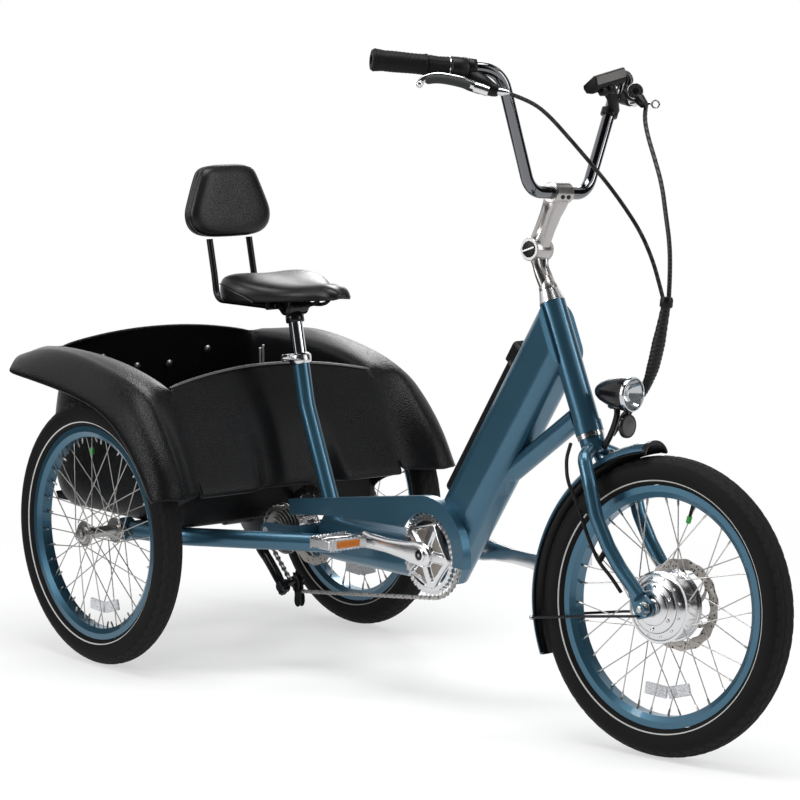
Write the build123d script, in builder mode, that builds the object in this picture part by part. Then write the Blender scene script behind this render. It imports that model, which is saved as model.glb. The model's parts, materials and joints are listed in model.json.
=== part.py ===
from build123d import *
from math import cos, pi, radians, sin, tan
import os

# An electric cargo tricycle, in millimetres. It drives towards +X, its left side is +Y and it stands on Z = 0.
# While the pieces are made X is measured from the rear axle; the last lines move them to the footprint's middle.

# wheels
wheelbase = 1234
track = 633
tyre_radius = 257
tyre_width = 55
rim_radius = 207
rim_depth = 21
rim_width = 34
rim_wall = 2.6
bead_seat_radius = 200
spoke_radius = 1.1
spoke_count = 36
running_clearance = 0.3

# steering
head_angle = 65.7
steering_rest = 9.93
fork_offset = 53
head_tube_radius = 23
head_tube_top = 755
head_tube_bottom = 534
steerer_radius = 12.7
fork_leg_radius = 12.5
fork_spread = 60

# main frame
down_tube_angle = 55
down_tube_depth = 100
down_tube_width = 80
down_tube_corner = 28
down_tube_drop = 52.5
beam_bottom = 218
beam_top = 300
beam_rear = 331
rail_foot_z = 390
rail_length = 310
rail_width = 46
rail_height = 14
latch_length = 44
latch_height = 22
brace_radius = 19
seat_tube_radius = 16.5
stay_radius = 17.5
stay_height = 256
stay_end = track / 2 - 64.5
stay_bend = 30
pad_stations = (45, 115)
pad_y = stay_end - 23
pad_length = 30
pad_width = 20
dropout_outer = track / 2 - 55
dropout_inner = dropout_outer - 17.5
axle_radius = 8
axle_tube_radius = 14

# drive
crank_z = 277
crank_length = 158
crank_angle = 176
ring_radius = 78
chain_y = -45
jackshaft_x = 215
jackshaft_z = 262
cog_radius = 50
rotor_radius = 80
rotor_thickness = 2
drum_radius = 53
drum_y = 76
drum_length = 52

# cargo tub
tub_wall = 4
tub_half_width = 240
tub_floor = 275
tub_step = 347
tub_toe = 159
tub_lip_x = 240
tub_front_top = (118, 570)
tub_rear_top = (-250, 617)
tub_rear_wall = [(-255, tub_floor), (-300, 350), (-305, 425), (-290, 490)]
tub_side_rim = [(-250, 588), (-130, 588), (-40, 581), (50, 567)]
tub_corner_z = 543
above_tub = tub_rear_top[1] + 83
tunnel_half_width = 128
tunnel_top = 325
fender_wall = 4
lip_overhang = 22
lip_y = track / 2 + tyre_width / 2 + lip_overhang
crest_y = lip_y - 48

# seat
seatpost_radius = 13.6
seatpost_insert = 50
clamp_drop = 22.8
saddle_length = 274
saddle_width = 235
saddle_rear_x = 92
saddle_top = 756
backrest_width = 200
backrest_height = 146
backrest_thickness = 38
backrest_post_radius = 6.5
backrest_post_y = 48

# handlebar
bar_radius = 11
stem_foot = 40
stem_lift = 90
stem_reach = 40.6
stem_rise = 101
bar_half_bottom = 78
bar_rise = 204
bar_flare = 86
grip_sweep = 36
grip_lift = 2
grip_arm = 222
grip_length = 130
grip_radius = 16.5
mount_reach = 150
mount_length = 14
display_width = 64
display_depth = 42

head = radians(head_angle)
axis_x = wheelbase - fork_offset / sin(head)
steer_up = Vector(-cos(head), 0, sin(head))
steering_axis = Axis((axis_x, 0, tyre_radius), steer_up)
side = Plane.XZ


def on_axis(z):
    """The point of the steering axis at height z."""
    return Vector(axis_x - (z - tyre_radius) / tan(head), 0, z)


def across(y):
    """The side-view plane at the given Y, whose normal looks to the right (-Y)."""
    return side.offset(-y)


def from_axle(x, y, z):
    """A point whose X is measured from the front axle."""
    return (wheelbase + x, y, z)


def tube_path(points, radii):
    """A tube's centre line: straight runs joined by tangent arcs."""
    return FilletPolyline(*points, radius=radii)


# ---------------------------------------------------------------- wheels
def make_tyre(centre):
    """A tyre with a round section that sits in the rim between its flanges."""
    section_radius = tyre_width / 2
    crown = tyre_radius - section_radius
    with BuildPart() as tyre:
        with BuildSketch(Plane(origin=centre, x_dir=(1, 0, 0), z_dir=(0, 0, 1))):
            with Locations((crown, 0)):
                Circle(section_radius)
            with Locations((rim_radius + running_clearance - crown, 0)):
                Rectangle(2 * crown, 2 * tyre_width, mode=Mode.SUBTRACT)
            with Locations((bead_seat_radius + running_clearance, 0)):
                Rectangle(crown - bead_seat_radius, rim_width - 2 * (rim_wall + running_clearance),
                          align=(Align.MIN, Align.CENTER))
        revolve(axis=Axis(centre, (0, 1, 0)))
    return tyre


def make_rim(centre):
    """A box-section rim with two flanges."""
    half = rim_width / 2
    bed = rim_radius - rim_depth
    with BuildPart() as rim:
        with BuildSketch(Plane(origin=centre, x_dir=(1, 0, 0), z_dir=(0, 0, 1))):
            with BuildLine():
                Polyline((bed, -half + 6), (bead_seat_radius - 4, -half), (rim_radius, -half),
                         (rim_radius, -half + rim_wall), (bead_seat_radius, -half + rim_wall),
                         (bead_seat_radius, half - rim_wall), (rim_radius, half - rim_wall),
                         (rim_radius, half), (bead_seat_radius - 4, half), (bed, half - 6), close=True)
            make_face()
        revolve(axis=Axis(centre, (0, 1, 0)))
    return rim


def make_spokes(centre, flange_radius, flanges, flange_thickness, wrap):
    """Crossed spokes from the two hub flanges to the rim bed."""
    bed = rim_radius - rim_depth - running_clearance
    seat = flange_radius + spoke_radius + running_clearance
    lean = flange_thickness / 2 + 0.8
    with BuildPart() as spokes:
        for count in range(spoke_count):
            flange = flanges[count % 2]
            outwards = 1 if flange > sum(flanges) / 2 else -1
            pair = count // 2
            turn = 1 if pair % 2 else -1
            rim_angle = radians(360 / spoke_count * (count + 0.5))
            hub_angle = rim_angle + radians(turn * wrap)
            start = centre + Vector(seat * cos(hub_angle), flange + turn * outwards * lean, seat * sin(hub_angle))
            finish = centre + Vector(bed * cos(rim_angle), outwards * 4 + sum(flanges) / 2, bed * sin(rim_angle))
            with BuildSketch(Plane(origin=start, z_dir=finish - start)):
                Circle(spoke_radius)
            extrude(amount=(finish - start).length)
    return spokes


def make_turned(centre, steps, bore=0):
    """A turned piece about an axle along Y; steps are (Y, radius) pairs, Y measured from its centre."""
    with BuildPart() as turned:
        with BuildSketch(Plane(origin=centre, x_dir=(1, 0, 0), z_dir=(0, 0, 1))):
            with BuildLine():
                Polyline((bore, steps[0][0]), *[(radius, y) for y, radius in steps], (bore, steps[-1][0]),
                         close=True)
            make_face()
        revolve(axis=Axis(centre, (0, 1, 0)))
    return turned


front_centre = Vector(wheelbase, 0, tyre_radius)
motor_radius = 58
motor_flange_radius = 62
motor_flange_y = 19
axle_bore = 7
front_rotor_y = 42

front_tyre = make_tyre(front_centre)
front_tyre.part.label = "front_tyre"
front_rim = make_rim(front_centre)
front_rim.part.label = "front_rim"
front_spokes = make_spokes(front_centre, motor_flange_radius, (-motor_flange_y, motor_flange_y), 3, 28)
front_spokes.part.label = "front_spokes"

front_hub = make_turned(front_centre, [
    (-46, 15), (-40, 16), (-38, 30), (-34, 31), (-32, 43), (-28, 45), (-26, motor_radius - 4),
    (-21, motor_radius), (-20.5, motor_flange_radius), (-17.5, motor_flange_radius), (-17, motor_radius),
    (17, motor_radius), (17.5, motor_flange_radius), (20.5, motor_flange_radius), (21, motor_radius),
    (26, motor_radius - 4), (28, 40), (34, 38), (36, 24), (40.7, 24)], axle_bore)
front_hub.part.label = "front_hub"

with BuildPart() as front_rotor:
    with BuildSketch(across(front_rotor_y - rotor_thickness / 2)):
        with Locations((wheelbase, tyre_radius)):
            Circle(rotor_radius)
            Circle(rotor_radius - 17, mode=Mode.SUBTRACT)
            Circle(24)
            with PolarLocations(0, 6):
                Rectangle(rotor_radius - 10, 7, align=(Align.MIN, Align.CENTER))
            Circle(9, mode=Mode.SUBTRACT)
            with PolarLocations(rotor_radius - 8.5, 36):
                Circle(2.6, mode=Mode.SUBTRACT)
    extrude(amount=-rotor_thickness)
front_rotor.part.label = "front_rotor"

hub_flange_radius = 25
hub_outer = 50.5
hub_inner = dropout_outer + 0.5 - track / 2
rear_flange_outer = 34.5
rear_flange_inner = -35.5


def make_rear_hub(centre, outwards):
    """A turned hub on a stub axle that runs in the frame's bearing."""
    steps = [(stub_tip, axle_radius - running_clearance), (hub_inner, axle_radius - running_clearance),
             (hub_inner, 15), (rear_flange_inner - 2, 15), (rear_flange_inner - 2, hub_flange_radius),
             (rear_flange_inner + 2, hub_flange_radius), (rear_flange_inner + 2, 11),
             (rear_flange_outer - 2, 11), (rear_flange_outer - 2, hub_flange_radius),
             (rear_flange_outer + 2, hub_flange_radius), (rear_flange_outer + 2, 14),
             (hub_outer - 9, 14), (hub_outer - 9, 9), (hub_outer, 9)]
    return make_turned(centre, [(outwards * y, radius) for y, radius in steps])


stub_tip = dropout_inner - 14 - track / 2
rear_pieces = []
for outwards, name in ((-1, "right"), (1, "left")):
    rear_centre = Vector(0, outwards * track / 2, tyre_radius)
    flanges = (outwards * rear_flange_inner, outwards * rear_flange_outer)
    for piece, kind in ((make_tyre(rear_centre), "tyre"), (make_rim(rear_centre), "rim"),
                        (make_spokes(rear_centre, hub_flange_radius, flanges, 4, 60), "spokes"),
                        (make_rear_hub(rear_centre, outwards), "hub")):
        piece.part.label = f"{name}_{kind}"
        rear_pieces.append(piece)

# ---------------------------------------------------------------- main frame
lean = radians(down_tube_angle)
along_tube = Vector(cos(lean), 0, sin(lean))
out_of_tube = Vector(-sin(lean), 0, cos(lean))
down_tube_meet = on_axis(head_tube_top - down_tube_drop)
down_tube_reach = down_tube_meet.X * sin(lean) - down_tube_meet.Z * cos(lean)
crank_x = (down_tube_reach + crank_z * cos(lean)) / sin(lean) - 1.8


def tube_edge(z, sign):
    """A point of the down tube's lower (+1) or upper (-1) face line at height z."""
    reach = down_tube_reach + sign * down_tube_depth / 2
    return ((reach + z * cos(lean)) / sin(lean), z)


def meet_axis(sign):
    """Where that face line meets the steering axis."""
    reach = down_tube_reach + sign * down_tube_depth / 2
    foot = on_axis(0).X
    z = (foot * sin(lean) - reach) / (cos(lean) + sin(lean) / tan(head))
    return (on_axis(z).X, z)


with BuildPart() as head_tube:
    with BuildSketch(Plane(origin=on_axis(head_tube_bottom), z_dir=steer_up)):
        Circle(head_tube_radius)
        Circle(steerer_radius + running_clearance, mode=Mode.SUBTRACT)
    extrude(amount=(head_tube_top - head_tube_bottom) / sin(head))
    with BuildSketch(Plane(origin=on_axis(head_tube_bottom), z_dir=steer_up)):
        Circle(head_tube_radius + 2)
        Circle(steerer_radius + running_clearance, mode=Mode.SUBTRACT)
    extrude(amount=20)
head_tube.part.label = "head_tube"

with BuildPart() as down_tube:
    with BuildSketch(across(-down_tube_width / 2)):
        with BuildLine():
            Polyline(tube_edge(beam_bottom, 1), meet_axis(1), meet_axis(-1), tube_edge(beam_top, -1), close=True)
        make_face()
    extrude(amount=-down_tube_width)
    long_edges = down_tube.edges().filter_by(lambda edge: abs(edge.tangent_at(0.5).dot(along_tube)) > 0.999)
    fillet(long_edges, down_tube_corner)
    with BuildSketch(across(-down_tube_width / 2)):
        with Locations((crank_x, crank_z)):
            Circle(17)
    extrude(amount=-down_tube_width, mode=Mode.SUBTRACT)
    with BuildSketch(Plane(origin=on_axis(head_tube_bottom - 40), z_dir=steer_up)):
        Circle(head_tube_radius)
    extrude(amount=head_tube_top, mode=Mode.SUBTRACT)
down_tube.part.label = "down_tube"

rail_start = Vector(tube_edge(rail_foot_z, -1)[0], 0, rail_foot_z)
rail_plane = Plane(origin=rail_start, x_dir=along_tube, z_dir=out_of_tube)
with BuildPart() as battery_rail:
    with BuildSketch(rail_plane):
        with Locations((rail_length / 2, 0)):
            RectangleRounded(rail_length, rail_width, rail_width / 4)
    extrude(amount=rail_height)
    fillet(battery_rail.faces().sort_by(Axis(rail_start, out_of_tube))[-1].edges(), rail_height / 2)
    with BuildSketch(rail_plane):
        with Locations((rail_length + latch_length / 2 - rail_height, 0)):
            RectangleRounded(latch_length, rail_width - 8, 6)
    extrude(amount=latch_height)
battery_rail.part.label = "battery_rail"

with BuildPart() as main_beam:
    with BuildSketch(across(-down_tube_width / 2)):
        with BuildLine():
            Polyline((beam_rear, beam_bottom + 8), (beam_rear + 60, beam_bottom), tube_edge(beam_bottom, 1),
                     tube_edge(beam_top, -1), (beam_rear, beam_top), close=True)
        make_face()
    extrude(amount=-down_tube_width)
    fillet(main_beam.edges().filter_by(Axis.X), down_tube_corner)
    with BuildSketch(across(-down_tube_width / 2)):
        with Locations((crank_x, crank_z)):
            Circle(17)
    extrude(amount=-down_tube_width, mode=Mode.SUBTRACT)
main_beam.part.label = "main_beam"

with BuildPart() as bottom_bracket:
    with BuildSketch(across(-down_tube_width / 2 + 5)):
        with Locations((crank_x, crank_z)):
            Circle(17 - running_clearance)
            Circle(8 + running_clearance, mode=Mode.SUBTRACT)
    extrude(amount=-(down_tube_width - 10))
bottom_bracket.part.label = "bottom_bracket"

brace_start = Vector(from_axle(-230, 0, 549))
brace_end = Vector(from_axle(-385, 0, 444))
with BuildPart() as brace_tube:
    with BuildSketch(Plane(origin=brace_start + (brace_start - brace_end).normalized() * 20,
                           z_dir=brace_end - brace_start)):
        Circle(brace_radius)
    extrude(amount=(brace_end - brace_start).length + 20)
    with BuildSketch(Plane(origin=on_axis(head_tube_bottom - 40), z_dir=steer_up)):
        Circle(head_tube_radius + 2)
    extrude(amount=head_tube_top, mode=Mode.SUBTRACT)
    add(down_tube.part, mode=Mode.SUBTRACT)
    keep = brace_tube.part.solids().sort_by(SortBy.VOLUME)[-1]
    add(keep, mode=Mode.REPLACE)
brace_tube.part.label = "brace_tube"

seat_top = Vector(225, 0, 600)
seat_bend = Vector(246, 0, 505)
seat_foot = Vector(333, 0, beam_top)
seat_up = (seat_top - seat_bend).normalized()
with BuildPart() as seat_tube:
    with BuildLine() as seat_line:
        tube_path((seat_top, seat_bend, seat_foot + (seat_foot - seat_bend).normalized() * 20), 150)
    with BuildSketch(Plane(origin=seat_top, z_dir=-seat_up)):
        Circle(seat_tube_radius)
    sweep()
    with BuildSketch(Plane(origin=seat_top, z_dir=-seat_up)):
        Circle(seatpost_radius + running_clearance)
    extrude(amount=82, mode=Mode.SUBTRACT)
    split(bisect_by=Plane.XY.offset(beam_top), keep=Keep.TOP)
seat_tube.part.label = "seat_tube"


def make_stay(outwards, name):
    """One rear stay: from the wheel's bearing, round a bend, to the main beam's side."""
    route = [(0, outwards * stay_end, stay_height), (130, outwards * (stay_end - stay_bend), stay_height),
             (420, outwards * 16, stay_height)]
    with BuildPart() as stay:
        with BuildLine():
            tube_path(route, 160)
        with BuildSketch(Plane(origin=route[0], z_dir=Vector(*route[1]) - Vector(*route[0]))):
            Circle(stay_radius)
        sweep()
        with BuildSketch(across(outwards * (dropout_outer if outwards < 0 else dropout_inner))):
            with Locations((0, tyre_radius)):
                Circle(stay_radius + 5)
        extrude(amount=-(dropout_outer - dropout_inner))
        with BuildSketch(across(-dropout_outer * 1.2)):
            with Locations((0, tyre_radius)):
                Circle(axle_radius)
        extrude(amount=-dropout_outer * 2.4, mode=Mode.SUBTRACT)
        with BuildSketch(across(outwards * dropout_outer)):
            with Locations((0, tyre_radius)):
                Rectangle(80, 80)
        extrude(amount=-outwards * 30, mode=Mode.SUBTRACT)
        with BuildSketch(across(-dropout_inner)):
            with Locations((0, tyre_radius)):
                Circle(axle_tube_radius + running_clearance)
        extrude(amount=-2 * dropout_inner, mode=Mode.SUBTRACT)
        with BuildSketch(Plane.XY.offset(stay_height)):
            with Locations(*[(x, outwards * pad_y) for x in pad_stations]):
                Rectangle(pad_length, pad_width)
        extrude(amount=tub_floor - stay_height)
        add(main_beam.part, mode=Mode.SUBTRACT)
        keep = stay.part.solids().sort_by(SortBy.VOLUME)[-1]
        add(keep, mode=Mode.REPLACE)
    stay.part.label = name
    return stay


right_stay = make_stay(-1, "right_stay")
left_stay = make_stay(1, "left_stay")

# ---------------------------------------------------------------- drive
chain_clearance = 1
chain_depth = 8
guard_y = -58
guard_sheet = 2.5
guard_radius = 107
guard_arch = 76
guard_back_y = -down_tube_width / 2
cassette_cogs = 7
cog_pitch = 4.4
cog_thickness = 2
small_cog_radius = 24
driven_cog = 3
tensioner_x = 283
tensioner_z = 170
tensioner_radius = 19

jackshaft_centre = Vector(jackshaft_x, 0, jackshaft_z)
driven_radius = small_cog_radius + driven_cog * (cog_radius - small_cog_radius) / (cassette_cogs - 1)

chain_run = [(crank_x, crank_z, ring_radius + chain_clearance),
             (jackshaft_x, jackshaft_z, driven_radius + 3), (tensioner_x, tensioner_z, tensioner_radius + 0.5)]
with BuildPart() as chain:
    for grow, mode in ((chain_depth, Mode.ADD), (0, Mode.SUBTRACT)):
        with BuildSketch(across(chain_y + 3)):
            with BuildLine():
                for x, z, radius in chain_run:
                    CenterArc((x, z), radius + grow, 0, 360)
            make_hull()
        extrude(amount=6, mode=mode)
chain.part.label = "chain"

guard_rear = jackshaft_x + 53
guard_span = crank_x - guard_rear
with BuildPart() as chain_guard:
    with BuildSketch(across(guard_y)):
        with BuildLine():
            guard_top = Line((guard_rear - 6, 328), (crank_x - 12, crank_z + guard_radius - 0.7))
            guard_nose = CenterArc((crank_x, crank_z), guard_radius, 96.4, -104)
            Line(guard_nose @ 1, (crank_x + guard_arch, crank_z - 13))
            Line((crank_x + guard_arch, crank_z - 13), (crank_x + guard_arch, crank_z))
            guard_hole = CenterArc((crank_x, crank_z), guard_arch, 0, 147)
            Spline(guard_hole @ 1, (guard_rear + 0.53 * guard_span, 316), (guard_rear + 0.226 * guard_span, 309),
                   (guard_rear, 298))
            Line((guard_rear, 298), (guard_rear - 6, 328))
            Line(guard_top @ 1, guard_nose @ 0)
        make_face()
    extrude(amount=-(guard_back_y - guard_y))
    with BuildSketch(across(guard_y + guard_sheet)):
        with BuildLine():
            inner_top = Line((guard_rear - 68, 320 - guard_sheet),
                             (crank_x - 12, crank_z + guard_radius - 0.7 - guard_sheet))
            inner_nose = CenterArc((crank_x, crank_z), guard_radius - guard_sheet, 96.4, -140)
            Polyline(inner_nose @ 1, (crank_x, crank_z - 60), (guard_rear - 68, 200),
                     (guard_rear - 68, 320 - guard_sheet))
            Line(inner_top @ 1, inner_nose @ 0)
        make_face()
    extrude(amount=-(guard_back_y - guard_y - guard_sheet), mode=Mode.SUBTRACT)
chain_guard.part.label = "chain_guard"

# the crankset: one spindle, two arms, a five-armed spider and a toothed ring
arm_direction = radians(crank_angle)
arm_thickness = 13
right_arm_y = -80
left_arm_y = 82


def crank_arm(y, outwards, angle):
    """One crank arm: a tapered bar from the spindle to the pedal eye, on its own side of the frame."""
    eye = (crank_x + crank_length * cos(angle), crank_z + crank_length * sin(angle))
    with BuildPart() as arm:
        with BuildSketch(across(y - arm_thickness / 2)):
            with BuildLine():
                CenterArc((crank_x, crank_z), 19, 0, 360)
                CenterArc(eye, 13, 0, 360)
            make_hull()
            with Locations(eye):
                Circle(7, mode=Mode.SUBTRACT)
        extrude(amount=-arm_thickness)
        fillet(arm.edges().filter_by(GeomType.LINE).filter_by(Axis.Y, reverse=True), 4)
    return arm.part


with BuildPart() as cranks:
    with BuildSketch(across(right_arm_y)):
        with Locations((crank_x, crank_z)):
            Circle(8)
    extrude(amount=-(left_arm_y - right_arm_y))
    add(crank_arm(right_arm_y, -1, arm_direction))
    add(crank_arm(left_arm_y, 1, arm_direction + pi))
cranks.part.label = "crank_arms"

with BuildPart() as chainring:
    with BuildSketch(across(chain_y + 1.5)):
        with Locations((crank_x, crank_z)):
            Circle(ring_radius)
            Circle(ring_radius - 14, mode=Mode.SUBTRACT)
    extrude(amount=3)
    with BuildSketch(across(right_arm_y + arm_thickness / 2 + 0.3)):
        with Locations((crank_x, crank_z)):
            Circle(24)
            Circle(8.2, mode=Mode.SUBTRACT)
    extrude(amount=-(chain_y - 3 - right_arm_y - arm_thickness / 2 - 0.3))
    with BuildSketch(across(chain_y - 3)):
        with Locations((crank_x, crank_z)):
            with PolarLocations(0, 5):
                Rectangle(ring_radius - 6, 15, align=(Align.MIN, Align.CENTER))
            Circle(8.2, mode=Mode.SUBTRACT)
    extrude(amount=-3)
chainring.part.label = "chainring"

pedal_width = 88
pedal_depth = 62
pedal_height = 24


def make_pedal(arm_y, outwards, angle, name):
    """A cage pedal around its axle; the axle runs in the crank's eye."""
    eye = Vector(crank_x + crank_length * cos(angle), 0, crank_z + crank_length * sin(angle))
    inner = arm_y + outwards * (arm_thickness / 2 + 6)
    middle = eye + Vector(0, inner + outwards * pedal_width / 2, 0)
    with BuildPart() as pedal:
        with BuildSketch(Plane(origin=middle, x_dir=(1, 0, 0), z_dir=(0, 0, 1)).offset(-pedal_height / 2)):
            RectangleRounded(pedal_depth, pedal_width, 8)
            with Locations((pedal_depth / 4 + 1, 0), (-pedal_depth / 4 - 1, 0)):
                RectangleRounded(pedal_depth / 2 - 14, pedal_width - 12, 4, mode=Mode.SUBTRACT)
        extrude(amount=pedal_height)
        with BuildSketch(Plane(origin=(eye.X, arm_y - outwards * arm_thickness / 2, eye.Z),
                               z_dir=(0, outwards, 0))):
            Circle(6.7)
        extrude(amount=arm_thickness + 8)
    pedal.part.label = name
    return pedal


right_pedal = make_pedal(right_arm_y, -1, arm_direction, "right_pedal")
left_pedal = make_pedal(left_arm_y, 1, arm_direction + pi, "left_pedal")

# jackshaft hub between the beam's rear end and the axle drive
with BuildPart() as jackshaft:
    add(make_turned(jackshaft_centre, [(-78, 8), (-62, 8), (-62, 12), (-24, 12), (-24, 30), (-20, 30), (-20, 20),
                                       (20, 20), (20, 30), (24, 30), (24, 22), (36, 22), (36, 8), (78, 8)]).part)
jackshaft.part.label = "jackshaft_hub"

with BuildPart() as cassette:
    for cog in range(cassette_cogs):
        cog_y = chain_y - cog_thickness / 2 + (cog - driven_cog) * cog_pitch
        with BuildSketch(across(cog_y)):
            with Locations((jackshaft_x, jackshaft_z)):
                Circle(small_cog_radius + cog * (cog_radius - small_cog_radius) / (cassette_cogs - 1))
                Circle(12 + running_clearance, mode=Mode.SUBTRACT)
        extrude(amount=-cog_thickness)
        with BuildSketch(across(cog_y + cog_thickness)):
            with Locations((jackshaft_x, jackshaft_z)):
                Circle(19)
                Circle(12 + running_clearance, mode=Mode.SUBTRACT)
        extrude(amount=-(cog_pitch - cog_thickness))
cassette.part.label = "cassette"

with BuildPart() as rear_rotor:
    with BuildSketch(across(36.3)):
        with Locations((jackshaft_x, jackshaft_z)):
            Circle(rotor_radius)
            Circle(rotor_radius - 17, mode=Mode.SUBTRACT)
            Circle(24)
            with PolarLocations(0, 6):
                Rectangle(rotor_radius - 10, 7, align=(Align.MIN, Align.CENTER))
            Circle(8 + running_clearance, mode=Mode.SUBTRACT)
            with PolarLocations(rotor_radius - 8.5, 36):
                Circle(2.6, mode=Mode.SUBTRACT)
    extrude(amount=-rotor_thickness)
rear_rotor.part.label = "rear_rotor"

cage_end = (tensioner_x - 47, tensioner_z - 10)
with BuildPart() as derailleur:
    with BuildSketch(across(-72)):
        with BuildLine():
            CenterArc((jackshaft_x, jackshaft_z), 15, 0, 360)
            CenterArc((jackshaft_x - 37, jackshaft_z - 30), 18, 0, 360)
            CenterArc(cage_end, 10, 0, 360)
        make_hull()
        with Locations((jackshaft_x, jackshaft_z)):
            Circle(8 + running_clearance, mode=Mode.SUBTRACT)
    extrude(amount=-9)
    with BuildSketch(across(-72)):
        with BuildLine():
            CenterArc(cage_end, 10, 0, 360)
            CenterArc((tensioner_x, tensioner_z), 9, 0, 360)
        make_hull()
    extrude(amount=-9)
    with BuildSketch(across(-63)):
        with Locations((tensioner_x, tensioner_z)):
            Circle(5)
    extrude(amount=-22)
    with BuildSketch(across(chain_y - 2.5)):
        with Locations((tensioner_x, tensioner_z)):
            Circle(tensioner_radius)
    extrude(amount=-5)
derailleur.part.label = "derailleur"

carrier_y = 72.5
with BuildPart() as jackshaft_carrier:
    for y in (-carrier_y - 5, carrier_y):
        with BuildSketch(across(y + 5)):
            with BuildLine():
                CenterArc((jackshaft_x, jackshaft_z), 16, 0, 360)
                Polyline((beam_rear - 16, stay_height - 16), (beam_rear, stay_height - 16),
                         (beam_rear, stay_height + 28), (beam_rear - 16, stay_height + 28), close=True)
            make_hull()
            with Locations((jackshaft_x, jackshaft_z)):
                Circle(8 + running_clearance, mode=Mode.SUBTRACT)
        extrude(amount=5)
    with BuildSketch(across(-carrier_y)):
        with BuildLine():
            Polyline((beam_rear - 23, stay_height - 16), (beam_rear, stay_height - 16),
                     (beam_rear, stay_height + 28), (beam_rear - 23, stay_height + 28), close=True)
        make_face()
    extrude(amount=-2 * carrier_y)
    add(right_stay.part, mode=Mode.SUBTRACT)
    add(left_stay.part, mode=Mode.SUBTRACT)
    add(main_beam.part, mode=Mode.SUBTRACT)
jackshaft_carrier.part.label = "jackshaft_carrier"

# axle drive: a drum and two housing tubes across the rear
axle_drive = make_turned(Vector(0, 0, tyre_radius), [
    (-dropout_inner + running_clearance, axle_tube_radius), (-20, axle_tube_radius), (-20, 18),
    (drum_y - drum_length / 2 - 8, 18), (drum_y - drum_length / 2, drum_radius - 6),
    (drum_y - drum_length / 2 + 6, drum_radius), (drum_y + drum_length / 2 - 6, drum_radius),
    (drum_y + drum_length / 2, drum_radius - 6), (drum_y + drum_length / 2, axle_tube_radius),
    (dropout_inner - running_clearance, axle_tube_radius)], axle_radius)
axle_drive.part.label = "axle_drive"

# ---------------------------------------------------------------- cargo tub
front_x, front_z = tub_front_top
tub_profile = [tub_front_top, (tub_lip_x, tub_step), (tub_toe, tub_step), (tub_toe - 8, tub_floor), *tub_rear_wall,
               tub_rear_top]
rear_inside = [(x + tub_wall, z) for x, z in tub_rear_wall[1:] + [tub_rear_top]]

with BuildPart() as cargo_tub:
    with BuildSketch(across(-tub_half_width)):
        with BuildLine():
            Polyline(*tub_profile, close=True)
        make_face()
    extrude(amount=-2 * tub_half_width)
    with BuildSketch(across(-tub_half_width + tub_wall)):
        with BuildLine():
            Polyline((front_x - tub_wall, above_tub), (front_x - tub_wall, front_z),
                     (tub_lip_x - 1.6 * tub_wall, tub_step + tub_wall), (tub_toe - tub_wall, tub_step + tub_wall),
                     (tub_toe - 8 - tub_wall, tub_floor + tub_wall),
                     (tub_rear_wall[0][0] + tub_wall / 2, tub_floor + tub_wall), *rear_inside,
                     (rear_inside[-1][0], above_tub), close=True)
        make_face()
    extrude(amount=-2 * (tub_half_width - tub_wall), mode=Mode.SUBTRACT)
    with BuildSketch(across(-tunnel_half_width - tub_wall)):
        with BuildLine():
            Polyline((-90, tub_floor), (-66, tunnel_top + tub_wall), (tub_toe - tub_wall, tunnel_top + tub_wall),
                     (tub_toe - tub_wall, tub_floor), close=True)
        make_face()
    extrude(amount=-2 * (tunnel_half_width + tub_wall))
    with BuildSketch(across(-tunnel_half_width)):
        with BuildLine():
            Polyline((-90 + tub_wall, tub_floor - 1), (-66 + tub_wall, tunnel_top), (tub_toe + 5, tunnel_top),
                     (tub_toe + 5, tub_floor - 1), close=True)
        make_face()
    extrude(amount=-2 * tunnel_half_width, mode=Mode.SUBTRACT)
    for plane_x, depth, crown, drop in ((60, 70, front_z, 30), (-310, 100, tub_rear_top[1], 29)):
        with BuildSketch(Plane(origin=(plane_x, 0, 0), x_dir=(0, 1, 0), z_dir=(1, 0, 0))):
            with BuildLine():
                rim = ThreePointArc((-tub_half_width - 1, crown - drop), (0, crown), (tub_half_width + 1, crown - drop))
                Polyline(rim @ 1, (tub_half_width + 1, above_tub), (-tub_half_width - 1, above_tub), rim @ 0)
            make_face()
        extrude(amount=depth, mode=Mode.SUBTRACT)
    for sign in (-1, 1):
        with BuildSketch(across(sign * (tub_half_width - tub_wall))):
            with BuildLine():
                Polyline((tub_rear_top[0] + 5, tub_side_rim[0][1]), *tub_side_rim[1:],
                         (front_x - tub_wall, tub_corner_z), (front_x - tub_wall, above_tub),
                         (tub_rear_top[0] + 5, above_tub), close=True)
            make_face()
        extrude(amount=-sign * (tub_wall + 1), mode=Mode.SUBTRACT)
    front_slope = Vector(tub_lip_x - front_x, 0, tub_step - front_z)
    for sign in (-1, 1):
        with BuildSketch(Plane(origin=(front_x, 0, front_z), x_dir=(0, 1, 0),
                               z_dir=front_slope.cross(Vector(0, 1, 0)))):
            with BuildLine():
                slant = front_slope.length
                Polyline((sign * (tub_half_width - 1), -34), (sign * (tub_half_width + 6), -34),
                         (sign * (tub_half_width + 34), -slant), (sign * (tub_half_width - 1), -slant), close=True)
            make_face()
        extrude(amount=tub_wall)
cargo_tub.part.label = "cargo_tub"

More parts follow.
